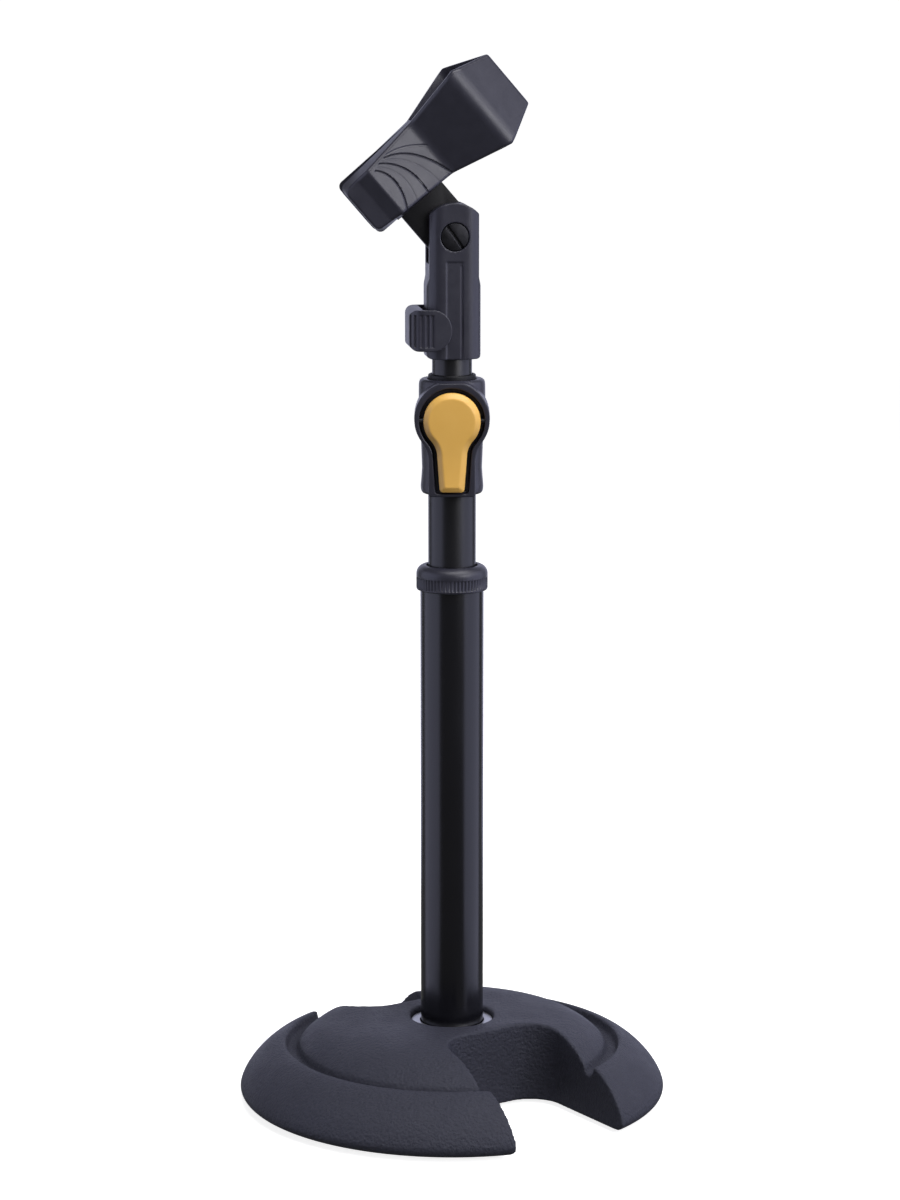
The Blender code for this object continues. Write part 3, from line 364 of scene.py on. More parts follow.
def moulded(mesh, voxel, passes, keep=1.0):
    """The mesh with the soft edges of a moulded or cast piece."""
    obj = temporary(mesh)
    remesh = obj.modifiers.new("remesh", "REMESH")
    remesh.mode = "VOXEL"
    remesh.voxel_size = voxel
    soften = obj.modifiers.new("soften", "SMOOTH")
    soften.factor = 0.5
    soften.iterations = passes
    if keep < 1:
        lighten = obj.modifiers.new("lighten", "DECIMATE")
        lighten.ratio = keep
    return evaluated(obj)


def bevelled(mesh, width, angle=35.0, segments=3):
    """The mesh with its flat faces merged and its sharp edges rounded."""
    build = bmesh.new()
    build.from_mesh(mesh)
    bmesh.ops.remove_doubles(build, verts=build.verts, dist=0.000002)
    bmesh.ops.dissolve_limit(build, angle_limit=math.radians(1.0), verts=build.verts, edges=build.edges)
    build.to_mesh(mesh)
    build.free()
    obj = temporary(mesh)
    bevel = obj.modifiers.new("bevel", "BEVEL")
    bevel.width = width
    bevel.segments = segments
    bevel.limit_method = "ANGLE"
    bevel.angle_limit = math.radians(angle)
    return evaluated(obj)


def piece(name, mesh, material, body, replaces=(), angle=40.0):
    mesh.name = name
    mesh.materials.clear()
    mesh.materials.append(material)
    mesh.shade_smooth()
    mesh.set_sharp_from_angle(angle=math.radians(angle))
    obj = bpy.data.objects.new(name, mesh)
    bpy.context.scene.collection.objects.link(obj)
    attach(obj, body)
    if replaces:
        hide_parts(*replaces)
    return obj


def softened(node, name, material, body, width=0.2 * MM, angle=35.0):
    """A copy of a CAD node with rounded edges, standing for it."""
    mesh = frame["nodes"][node].data.copy()
    return piece(name, bevelled(mesh, width, angle), material, body, (node,))


def finish_node(node, material):
    mesh = frame["nodes"][node].data
    mesh.materials.clear()
    mesh.materials.append(material)


# ---------------------------------------------------------------- base

DOME_EDGE = 62.2 * MM
DOME_EDGE_TOP = 23.6 * MM
GROOVE_WIDTH = 6.4 * MM
GROOVE_FLOOR = 19.8 * MM
RIM_TOP = 23.9 * MM
RIM_WIDEST = 5.5 * MM
RIM_FULLNESS = 1.45
RIM_FOOT = 83.5 * MM
HUB_HOLE = 17 * MM
NOTCH_HALF = 25.4 * MM
NOTCH_BACK = 26 * MM
NOTCH_CORNER = 13 * MM
TUBE_CLEARANCE = 0.3 * MM
HUB_EDGE = 0.9 * MM              # how far the hub hole's rounded edge reaches
DOME_STEPS = 24
DOME_FULLNESS = 4.2              # 1 gives a cone, more a flatter top
FOOT_CLEARANCE = 0.3 * MM
WEB_EXTRA = 3 * MM               # how far the casting's floor reaches past the tube
BOLT_HOLE_STEP = 2.9 * MM        # the bolt's hole is this much narrower than its head
CAST_VOXEL = 0.75 * MM


def base_section():
    """The casting's section as a loop of (radius, height), from the hub hole outwards."""
    bottom = low("base_casting").z
    hub_top = high("base_casting").z
    widest = high("base_casting").x
    dome = [(HUB_HOLE, hub_top - 0.8 * MM), (HUB_HOLE + 0.3 * MM, hub_top - 0.25 * MM),
            (HUB_HOLE + HUB_EDGE, hub_top)]
    for i in range(1, DOME_STEPS + 1):
        share = i / DOME_STEPS
        radius = HUB_HOLE + HUB_EDGE + (DOME_EDGE - HUB_HOLE - HUB_EDGE) * share
        dome.append((radius, hub_top - (hub_top - DOME_EDGE_TOP) * share ** DOME_FULLNESS))
    groove_end = DOME_EDGE + GROOVE_WIDTH
    floor = rounded([(DOME_EDGE + 0.3 * MM, DOME_EDGE_TOP - 0.4 * MM, 0),
                     (DOME_EDGE + 1.4 * MM, GROOVE_FLOOR, 1.0 * MM),
                     (groove_end - 1.4 * MM, GROOVE_FLOOR, 1.0 * MM),
                     (groove_end - 0.3 * MM, RIM_TOP - 0.4 * MM, 0)], 4, closed=False)
    rim = []
    for i in range(DOME_STEPS + 1):
        turn = math.pi / 2 * (1 - i / DOME_STEPS)
        across = math.cos(turn) ** (2 / RIM_FULLNESS) if i else 0.0
        rim.append((groove_end + (widest - groove_end) * across,
                    RIM_WIDEST + (RIM_TOP - RIM_WIDEST) * math.sin(turn) ** (2 / RIM_FULLNESS)))
    foot = [(widest - 0.35 * MM, RIM_WIDEST - 1.5 * MM), (widest - 1.6 * MM, bottom + 1.1 * MM),
            (RIM_FOOT, bottom + 0.2 * MM), (RIM_FOOT - 2 * MM, bottom)]
    bore = high("outer_tube").x + TUBE_CLEARANCE
    return dome + floor + rim + foot + [(bore, bottom), (bore, low("hub_seat_ring").z - TUBE_CLEARANCE),
                                        (HUB_HOLE, low("hub_seat_ring").z - TUBE_CLEARANCE)]


def notch(turn):
    outline = rounded([(-NOTCH_HALF, -FAR, 0), (NOTCH_HALF, -FAR, 0),
                       (NOTCH_HALF, -NOTCH_BACK, NOTCH_CORNER),
                       (-NOTCH_HALF, -NOTCH_BACK, NOTCH_CORNER)], 16)
    return prism(outline, -FAR, FAR, "XY", BASE_TURN @ Matrix.Rotation(turn, 4, "Z"))


def make_base():
    bore = high("outer_tube").x
    web_top = low("outer_tube").z - TUBE_CLEARANCE
    web = combined(pin(bore + WEB_EXTRA, high("base_washer").z + TUBE_CLEARANCE, web_top),
                   ("DIFFERENCE", pin(high("base_bolt").x - BOLT_HOLE_STEP, -FAR, FAR)))
    feet = []
    for i in range(4):
        lower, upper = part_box(f"rubber_foot_{i + 1}")
        middle = (lower + upper) / 2
        spot = Matrix.Translation((middle.x, middle.y, 0))
        feet.append(("DIFFERENCE", pin((upper.x - lower.x) / 2 + FOOT_CLEARANCE, -FAR,
                                      upper.z + FOOT_CLEARANCE, spot)))
        softened(f"rubber_foot_{i + 1}", f"foot_pad_{i + 1}", RUBBER, "base", 0.6 * MM)
    casting = combined(lathe(base_section(), 240), ("UNION", web), ("DIFFERENCE", notch(0)),
                       ("DIFFERENCE", notch(math.pi)), *feet)
    piece("base_shell", moulded(casting, CAST_VOXEL, 3, 0.45), POWDER, "base",
          ("base_casting",), 60)
    inner, outer = high("outer_tube").x + TUBE_CLEARANCE, high("hub_seat_ring").x
    base, top = low("hub_seat_ring").z, high("hub_seat_ring").z
    seat = rounded([(inner, base, 0), (outer, base, 0), (outer, top, 0.5 * MM), (inner, top, 0.4 * MM)], 4)
    piece("seat_ring", lathe(seat), ZINC, "base", ("hub_seat_ring",))


# ---------------------------------------------------------------- column

def tube(name, node, wall, material, body):
    """A tube with rolled edges at both ends."""
    outer = high(node).x
    bottom, top = low(node).z, high(node).z
    lip = 0.35 * MM
    section = rounded([(outer - wall, bottom, lip), (outer, bottom, lip), (outer, top, lip),
                       (outer - wall, top, lip)], 4)
    piece(name, lathe(section, 160), material, body, (node,))


RIBS = 60
RIB_DEPTH = 0.42 * MM


def make_collar():
    lower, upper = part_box("knurled_collar")
    outer = upper.x
    bore = high("middle_tube").x + 0.8 * MM
    skirt = high("outer_tube").x + 0.3 * MM
    step = high("top_bush").z + 0.3 * MM
    band_low, band_high = lower.z + 0.9 * MM, lower.z + 5.4 * MM
    side = [(outer, lower.z + 0.7 * MM), (outer, band_low), (outer, band_low + 0.3 * MM)]
    side += [(outer, band_high - 0.3 * MM), (outer, band_high)]
    shoulder = arc((outer - 3.5 * MM, upper.z - 3.5 * MM), 3.5 * MM, 0, 90, 14)
    section = [(outer - 0.7 * MM, lower.z), (outer - 0.2 * MM, lower.z + 0.2 * MM), *side, *shoulder,
               (bore + 0.3 * MM, upper.z), (bore, upper.z - 0.3 * MM), (bore, step), (skirt, step),
               (skirt, lower.z)]

    def ribbed(angle, radius, height):
        if radius < outer - 0.01 * MM or not band_low < height < band_high:
            return radius
        return radius - RIB_DEPTH * (0.5 - 0.5 * math.cos(RIBS * angle)) ** 0.7

    piece("ribbed_collar", lathe(section, RIBS * 8, ribbed), CHARCOAL, "collar",
          ("knurled_collar",))


def make_column():
    tube("outer_sleeve", "outer_tube", 1.5 * MM, GLOSS, "base")
    tube("middle_sleeve", "middle_tube", 1.0 * MM, SATIN, "mast")
    tube("upper_sleeve", "upper_rod", 1.3 * MM, SATIN, "rod")
    make_collar()


# ---------------------------------------------------------------- squeeze clutch

def keyhole(radius, half, fillet, centre, bottom, corner, taper=0.0, fine=1):
    """A round head over a tail that narrows by taper on each side, joined by fillets."""
    reach = radius + fillet
    side = half + fillet
    drop = math.sqrt(reach ** 2 - side ** 2)
    touch = math.degrees(math.atan2(drop, side))
    right = [(x, centre + z) for x, z in arc((side, -drop), fillet, 180, 180 - touch, 10 * fine)]
    head = [(x, centre + z) for x, z in arc((0, 0), radius, -touch, 180 + touch, 48 * fine)]
    left = [(-x, z) for x, z in reversed(right)]
    base = half - taper
    foot_right = [(base - corner, bottom), (base - 0.3 * corner, bottom + 0.3 * corner),
                  (base, bottom + corner)]
    foot_left = [(-x, z) for x, z in reversed(foot_right)]
    return foot_right + right + head[1:-1] + left + foot_left


RIDGE_RADIUS = 14.95 * MM
RIDGE_CENTRE_RISE = 0.8 * MM     # above the lever's own centre
BLOCK_HALF = 9.25 * MM
BLOCK_FILLET = 13 * MM
LEVER_HEAD = 11.3 * MM
LEVER_TAIL = 5.9 * MM
LEVER_TAPER = 0.95 * MM
LEVER_FILLET = 9.5 * MM
RECESS_GAP = 1.7 * MM
RECESS_FLOOR = 11.8 * MM
BOSS_INSET = 0.4 * MM            # from the housing's ends to the block round the lever
CAVITY_RADIUS = 10.6 * MM
CAVITY_LEDGE = 2 * MM
TAB_HALF = 4 * MM
PIN_HOLE = 1.5 * MM
SCREW_RISE = 6 * MM
SCREW_HOLE = 3.3 * MM
SCREW_SEAT = 2.2 * MM
CLUTCH_VOXEL = 0.26 * MM

# The lever's edge from its back to its face: each (inset, depth) in mm
LEVER_BEVEL = [(0.35, 3.9), (0.0, 3.4), (0.0, 1.9), (0.12, 1.62), (0.35, 1.4), (1.0, 0.86), (1.6, 0.38),
               (1.95, 0.12), (2.3, 0.02), (2.8, 0.0)]
LEVER_THICK = 4 * MM
FLARE_LENGTH = 9 * MM            # of the tail that turns outwards
FLARE_REACH = 1.0 * MM
BARREL_RADIUS = 2.2 * MM
BARREL_HALF = 8 * MM
NOSE_HALF = 3 * MM
NOSE_THICK = 1.9 * MM
NOSE_TIP = 11 * MM
NOSE_PLAY = 0.6 * MM


def housing_side(bottom, top):
    """The housing's round body: foot, waist and shoulder as (radius, height)."""
    height = top - bottom
    stations = np.array([0, 0.02, 0.06, 0.22, 0.43, 0.60, 0.74, 0.86, 0.955, 0.985, 1.0]) * height + bottom
    radii = np.array([11.7, 12.35, 12.5, 11.95, 12.3, 12.9, 13.2, 13.25, 13.2, 12.9, 12.0]) * MM
    return list(zip(radii, stations))


def hinge_place(point):
    """Stands a cylinder's axis along X through the point."""
    return Matrix.Translation(point) @ Matrix.Rotation(math.pi / 2, 4, "Y")


def make_housing():
    lower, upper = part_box("clutch_housing")
    bottom, top = lower.z, upper.z
    centre = joint_point("lever_squeeze").z
    lever_bottom = low("clutch_lever").z
    front = lower.y
    socket_top = high("middle_tube").z + TUBE_CLEARANCE
    plate_top = low("clutch_top_bush").z - TUBE_CLEARANCE
    shaft = high("upper_rod").x
    boss = combined(prism(keyhole(RIDGE_RADIUS, BLOCK_HALF, BLOCK_FILLET, centre + RIDGE_CENTRE_RISE,
                                  bottom + BOSS_INSET, 1 * MM), front, -0.6 * MM, "XZ"),
                    ("INTERSECT", block((-FAR, -FAR, 0), (FAR, FAR, top - BOSS_INSET))))
    recess = keyhole(LEVER_HEAD + RECESS_GAP, LEVER_TAIL + RECESS_GAP, LEVER_FILLET - RECESS_GAP, centre,
                     lever_bottom - RECESS_GAP / 2, 1 * MM, LEVER_TAPER)
    housing = combined(
        lathe([(0.01 * MM, bottom), *housing_side(bottom, top), (0.01 * MM, top)]),
        ("UNION", boss),
        ("DIFFERENCE", pin(high("middle_tube").x + TUBE_CLEARANCE, -FAR, socket_top)),
        ("DIFFERENCE", pin(shaft + TUBE_CLEARANCE, -FAR, FAR)),
        ("DIFFERENCE", pin(CAVITY_RADIUS, socket_top + CAVITY_LEDGE, plate_top)),
        ("DIFFERENCE", pin(high("middle_tube").x + TUBE_CLEARANCE, plate_top - 0.1 * MM, FAR)),
        ("DIFFERENCE", prism(recess, -FAR, -RECESS_FLOOR, "XZ")),
        ("DIFFERENCE", block((-TAB_HALF, front, centre), (TAB_HALF, 0, plate_top))),
        ("DIFFERENCE", pin(PIN_HOLE, -FAR, FAR, hinge_place(joint_point("lever_squeeze")))),
        ("DIFFERENCE", pin(SCREW_HOLE, low("clutch_screw").y + SCREW_SEAT, FAR,
                           Matrix.Translation((0, 0, bottom + SCREW_RISE))
                           @ Matrix.Rotation(-math.pi / 2, 4, "X"))),
    )
    piece("clutch_shell", moulded(housing, CLUTCH_VOXEL, 7, 0.4), CHARCOAL, "mast",
          ("clutch_housing",), 60)


def make_lever():
    """The squeeze lever: a crowned plate with a wide soft bevel, turned out a little at its tail."""
    hinge = joint_point("lever_squeeze")
    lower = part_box("clutch_lever")[0]
    front, bottom = lower.y, lower.z
    rings = []
    for inset, depth in LEVER_BEVEL:
        inset *= MM
        outline = keyhole(LEVER_HEAD - inset, LEVER_TAIL - inset, LEVER_FILLET + inset, hinge.z,
                          bottom + inset, max(1.2 * MM - 0.3 * inset, 0.3 * MM), LEVER_TAPER)
        rings.append([(x, front + depth * MM, z) for x, z in outline])
    count = len(rings[0])
    vertices = [point for ring in rings for point in ring]
    faces = []
    for i in range(len(rings) - 1):
        for j in range(count):
            ahead = (j + 1) % count
            faces.append((i * count + j, i * count + ahead, (i + 1) * count + ahead, (i + 1) * count + j))
    for start in (0, (len(rings) - 1) * count):
        for j in range(count // 2):
            across = count - 1 - j
            if across - j > 1:
                faces.append((start + j, start + j + 1, start + across - 1, start + across))
    flare_start = bottom + FLARE_LENGTH
    flared = []
    for x, y, z in vertices:
        away = max(0.0, flare_start - z)
        flared.append((x, y - FLARE_REACH * (away / FLARE_LENGTH) ** 2, z))
    plate = mesh_from(flared, faces)
    barrel = pin(BARREL_RADIUS, -BARREL_HALF, BARREL_HALF, hinge_place(hinge))
    nose_top = low("lock_plate_lower").z - NOSE_PLAY
    nose = block((-NOSE_HALF, front + LEVER_THICK - 1 * MM, nose_top - NOSE_THICK),
                 (NOSE_HALF, -NOSE_TIP, nose_top))
    lever = combined(plate, ("UNION", barrel), ("UNION", nose),
                     ("DIFFERENCE", pin(PIN_HOLE, -FAR, FAR, hinge_place(hinge))))
    piece("squeeze_lever_cap", lever, YELLOW, "squeeze_lever", ("clutch_lever",), 50)


def make_clutch():
    make_housing()
    make_lever()
    lower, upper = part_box("clutch_top_bush")
    bore = high("upper_rod").x + TUBE_CLEARANCE
    outer = upper.x
    ring_low = high("clutch_housing").z + TUBE_CLEARANCE
    section = rounded([(bore, lower.z, 0), (outer, lower.z, 0), (outer, ring_low, 0),
                       (outer, upper.z, 0.6 * MM), (bore, upper.z, 0.4 * MM)], 5)
    piece("top_bush_ring", lathe(section), BLACK, "mast", ("clutch_top_bush",))
    softened("clutch_screw", "back_screw", BLACKENED, "mast", 0.25 * MM)


# ---------------------------------------------------------------- neck

FORK_HALF = 9.85 * MM
NECK_TOP = 13.2 * MM
NECK_HALF = 10.8 * MM
NECK_DEPTH_HALF = 10.4 * MM
NECK_CORNER = 6.2 * MM
PANEL = (-3.5 * MM, 3.3 * MM, 300 * MM, 343.5 * MM)
PANEL_DEPTH = 0.32 * MM
SLOT_HALF = 4.7 * MM
SLOT_DROP = 10.9 * MM            # from the tilt screw down to the fork's floor
SHOULDER_LOW = 19.7 * MM         # below the tilt screw, where the neck starts to narrow
SHOULDER_HIGH = 16.2 * MM
SCREW_SHAFT = 2.8 * MM
SCREW_HEAD = 5.7 * MM
SCREW_SINK = 2.4 * MM
NUT_RADIUS = 4.9 * MM
NUT_SINK = 2.8 * MM
WINDOW_HALF = 3.5 * MM
WINDOW_HEIGHT = 3.4 * MM
RELEASE_HINGE = (-7.5 * MM, 318 * MM)
RELEASE_HOLE = 1.4 * MM
RELEASE_HOLE_DEPTH = 4 * MM
NECK_VOXEL = 0.24 * MM


def make_neck():
    bottom = low("neck_fork").z
    pivot = joint_point("clip_tilt").z
    lean = math.degrees(math.acos(FORK_HALF / NECK_TOP))
    top = arc((0, pivot), NECK_TOP, lean, 180 - lean, 30)
    outline = [(NECK_HALF - 1.6 * MM, bottom), (NECK_HALF - 0.4 * MM, bottom + 0.5 * MM),
               (NECK_HALF, bottom + 1.8 * MM), (NECK_HALF, pivot - SHOULDER_LOW),
               (FORK_HALF, pivot - SHOULDER_HIGH), *top, (-FORK_HALF, pivot - SHOULDER_HIGH),
               (-NECK_HALF, pivot - SHOULDER_LOW), (-NECK_HALF, bottom + 1.8 * MM),
               (0.4 * MM - NECK_HALF, bottom + 0.5 * MM), (1.6 * MM - NECK_HALF, bottom)]
    plan = rounded([(-NECK_HALF, -NECK_DEPTH_HALF, NECK_CORNER), (NECK_HALF, -NECK_DEPTH_HALF, NECK_CORNER),
                    (NECK_HALF, NECK_DEPTH_HALF, NECK_CORNER),
                    (-NECK_HALF, NECK_DEPTH_HALF, NECK_CORNER)], 10)
    left, right, panel_low, panel_high = PANEL
    panel = rounded([(left, panel_low, 0.6 * MM), (right, panel_low, 0.6 * MM),
                     (right, panel_high, 0.6 * MM),
                     (left, panel_high, 0.6 * MM)], 4)
    groove = rounded([(right - 0.9 * MM, panel_low, 0.3 * MM), (right - 0.1 * MM, panel_low, 0.3 * MM),
                      (right - 0.1 * MM, panel_high - 1.5 * MM, 0.3 * MM),
                      (right - 0.9 * MM, panel_high - 1.5 * MM, 0.3 * MM)], 3)
    window_low = low("release_lever").z + 0.1 * MM
    neck = combined(
        prism(outline, -NECK_DEPTH_HALF, NECK_DEPTH_HALF, "XZ"),
        ("INTERSECT", prism(plan, 0, 1)),
        ("DIFFERENCE", pin(high("upper_rod").x + TUBE_CLEARANCE, -FAR,
                           high("clip_adapter").z + TUBE_CLEARANCE)),
        ("DIFFERENCE", block((-FAR, -SLOT_HALF, pivot - SLOT_DROP), (FAR, SLOT_HALF, 1))),
        ("DIFFERENCE", pin(SCREW_SHAFT, -FAR, FAR, along_y(0, pivot))),
        ("DIFFERENCE", pin(SCREW_HEAD, NECK_DEPTH_HALF - SCREW_SINK, FAR, along_y(0, pivot))),
        ("DIFFERENCE", pin(NUT_RADIUS, -FAR, NUT_SINK - NECK_DEPTH_HALF, along_y(0, pivot), 6)),
        ("DIFFERENCE", prism(panel, -FAR, PANEL_DEPTH - NECK_DEPTH_HALF, "XZ")),
        ("DIFFERENCE", prism(groove, -FAR, 2.2 * PANEL_DEPTH - NECK_DEPTH_HALF, "XZ")),
        ("DIFFERENCE", block((-FAR, -WINDOW_HALF, window_low),
                             (-5 * MM, WINDOW_HALF, window_low + WINDOW_HEIGHT))),
        ("DIFFERENCE", pin(RELEASE_HOLE, -FAR, RELEASE_HOLE_DEPTH - NECK_DEPTH_HALF,
                           along_y(*RELEASE_HINGE))),
        ("DIFFERENCE", pin(RELEASE_HOLE, NECK_DEPTH_HALF - RELEASE_HOLE_DEPTH, FAR,
                           along_y(*RELEASE_HINGE))),
    )
    neck.transform(HEAD)
    piece("neck_shell", moulded(neck, NECK_VOXEL, 4, 0.4), CHARCOAL, "neck",
          ("neck_fork",), 60)
    softened("pivot_screw", "tilt_screw", BLACKENED, "neck", 0.15 * MM)
    softened("pivot_nut", "tilt_nut", BLACKENED, "neck", 0.2 * MM)


# The five upright grooves: where each crosses the lever's face, in (x, y) of the head
RELEASE_GROOVES = [(-9.3, -12.8), (-11.3, -12.8), (-13.5, -12.56), (-15.9, -11.2), (-17.5, -8.9)]
GROOVE_RADIUS = 0.68 * MM
RELEASE_SKIN = 0.7 * MM          # left over each hidden pin
RELEASE_REACH = 18 * MM
RELEASE_WALL = 2 * MM
RELEASE_SIDE_GAP = 0.4 * MM
RELEASE_BACK_GAP = 1.8 * MM
RELEASE_CORNER = 6.2 * MM
RELEASE_END_CORNER = 3.5 * MM
EAR_END = -1.5 * MM
EAR_RADIUS = 7.5 * MM
LATCH_LOW = 309.2 * MM
LATCH_THICK = 2.2 * MM
LATCH_HALF = 3 * MM
LATCH_TIP = 6.95 * MM
RELEASE_VOXEL = 0.2 * MM


def make_release():
    """The thumb lever: a U round the neck with upright grooves on the corner that the thumb finds."""
    inner_y = NECK_DEPTH_HALF + RELEASE_SIDE_GAP
    outer_y = inner_y + RELEASE_WALL
    inner_x = -NECK_HALF - RELEASE_BACK_GAP
    lower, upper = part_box("release_lever")
    bottom, top = lower.z, upper.z
    middle, rise = (bottom + top) / 2, (top - bottom) / 2
    turn = arc((RELEASE_CORNER - RELEASE_REACH, RELEASE_CORNER - outer_y), RELEASE_CORNER, 180, 270, 14)
    plan = [(FAR, outer_y), *[(x, -y) for x, y in reversed(turn)], *turn, (FAR, -outer_y), (FAR, -inner_y),
            (inner_x, -inner_y), (inner_x, inner_y), (FAR, inner_y)]
    ear = [(EAR_END - EAR_RADIUS + EAR_RADIUS * x, middle + rise * z)
           for x, z in arc((0, 0), 1, -90, 90, 28)]
    corner = RELEASE_END_CORNER
    far_x = corner - RELEASE_REACH - 0.2 * MM
    side = [*arc((far_x, bottom + corner), corner, 180, 270), *ear,
            *arc((far_x, top - corner), corner, 90, 180)]
    grooves = [("DIFFERENCE", pin(GROOVE_RADIUS, bottom + 1.5 * MM, top - 2.0 * MM,
                                  Matrix.Translation((x * MM, y * MM, 0)), 16)) for x, y in RELEASE_GROOVES]
    lever = combined(
        prism(plan, bottom, top),
        ("INTERSECT", prism(side, -FAR, FAR, "XZ")),
        ("UNION", block((inner_x - 1 * MM, -LATCH_HALF, LATCH_LOW),
                        (-LATCH_TIP, LATCH_HALF, LATCH_LOW + LATCH_THICK))),
        ("DIFFERENCE", pin(RELEASE_HOLE, RELEASE_SKIN - outer_y, outer_y - RELEASE_SKIN,
                           along_y(*RELEASE_HINGE))),
        *grooves)
    lever.transform(HEAD)
    piece("thumb_release", moulded(lever, RELEASE_VOXEL, 2, 0.4), CHARCOAL, "release",
          ("release_lever",), 60)


# ---------------------------------------------------------------- clip

PIVOT_U = 21.5 * MM
ARM_LENGTH = 31.9 * MM
JAW_PIN_U = 36 * MM
JAW_LENGTH = 78 * MM
WAIST_U = 37.25 * MM
JAW_WALL = 2.5 * MM
JAW_OPENING = 6.3 * MM
EDGE_GAP = 0.4 * MM
TONGUE_HALF = 3.5 * MM
EDGE_ROUND = 1.3 * MM
END_ROUND = 0.9 * MM
SWING = 10.0                     # degrees that each jaw may open round the tongue
EAR_THICK = 1.7 * MM
FRONT_EAR = 8.2 * MM             # from the middle to the inner side of each jaw's ears
REAR_EAR = 6.2 * MM
# Corners of the jaw's outside as (u, n, radius) and of its half width as (u, m, radius), in mm
PROFILE = [(0, 11.7, 0), (7, 12.1, 3), (12, 14.6, 2), (37.25, 6.8, 6), (62, 17.6, 7), (78, 2.5, 0)]
HALF_OUTLINE = [(0, 0, 0), (0, 12.05, 2.5), (37.25, 12.95, 6), (62, 18.4, 2), (78, 12.5, 0.8), (78, 0, 0)]
GROOVE_HALF = 0.42 * MM
HANDLE_DRAFT = 1.85 * MM         # how far a side wall leans in at the handle's end
GROOVE_DEPTH = 0.55 * MM
# Each groove on a handle: four control points in (u, m), then its depth as a share
GROOVES = [
    ([(14.5, -8.5), (19.2, -4.0), (19.0, 5.0), (12.2, 13.5)], 1.0),
    ([(17.5, -9.5), (23.6, -4.8), (27.2, 3.0), (24.4, 13.5)], 1.0),
    ([(20.5, -9.9), (29.0, -7.0), (34.5, 1.0), (37.3, 13.5)], 1.0),
    ([(21.5, -10.3), (27.0, -9.6), (32.0, -6.6), (36.5, -2.2)], 0.45),
    ([(16.0, -9.0), (21.5, -4.4), (23.0, 4.0), (18.5, 12.5)], 0.18),
    ([(19.0, -9.7), (26.3, -6.0), (30.8, 2.0), (31.0, 12.5)], 0.18),
]


def jaw_profile():
    """The jaw's outside as (u, n), from the handle's end to the tip."""
    path = rounded([tuple(part * MM for part in corner) for corner in PROFILE], 12, closed=False)
    return np.array(path)


def jaw_half_outline():
    """The jaw's half width as (u, m)."""
    path = rounded([tuple(part * MM for part in corner) for corner in HALF_OUTLINE], 10, closed=False)
    return np.array(path)[1:-1]


def bezier(points, share):
    a, b, c, d = (np.array(point) for point in points)
    rest = 1 - share
    return rest ** 3 * a + 3 * rest ** 2 * share * b + 3 * rest * share ** 2 * c + share ** 3 * d


def groove_depths(u, m):
    """How deep the fan of grooves is at each (u, m) on the handle."""
    depth = np.zeros_like(u)
    for points, share in GROOVES:
        line = np.array([bezier(points, i / 40) * MM for i in range(41)])
        distance = np.full(u.shape, 1.0)
        for start, end in zip(line[:-1], line[1:]):
            run = end - start
            along = ((u - start[0]) * run[0] + (m - start[1]) * run[1]) / (run @ run)
            along = np.clip(along, 0, 1)
            away = np.hypot(u - start[0] - along * run[0], m - start[1] - along * run[1])
            distance = np.minimum(distance, away)
        shape = np.clip(1 - distance / GROOVE_HALF, 0, 1) ** 0.8
        depth = np.maximum(depth, GROOVE_DEPTH * share * shape)
    return depth


ACROSS = 150


def jaw_stations():
    """Places along the jaw where its section is drawn."""
    fine = np.arange(0, JAW_LENGTH + 0.01 * MM, 0.3 * MM)
    ends = [step * MM for step in (0.05, 0.15, 0.3, 0.5, 0.7, 1.0)]
    special = [JAW_WALL, JAW_WALL + 0.01 * MM, 9 * MM, 9.01 * MM, 33.5 * MM, 33.51 * MM, WAIST_U + 0.9 * MM,
               WAIST_U + 0.91 * MM]
    places = [*fine, *ends, *(JAW_LENGTH - end for end in ends), *special]
    return np.unique(np.round(places, 7))


def end_drop(u, length, radius):
    """How far a rounded end pulls the surface down."""
    near = np.minimum(u, length - u)
    inside = np.clip(radius - near, 0, radius)
    return radius - np.sqrt(radius ** 2 - inside ** 2)


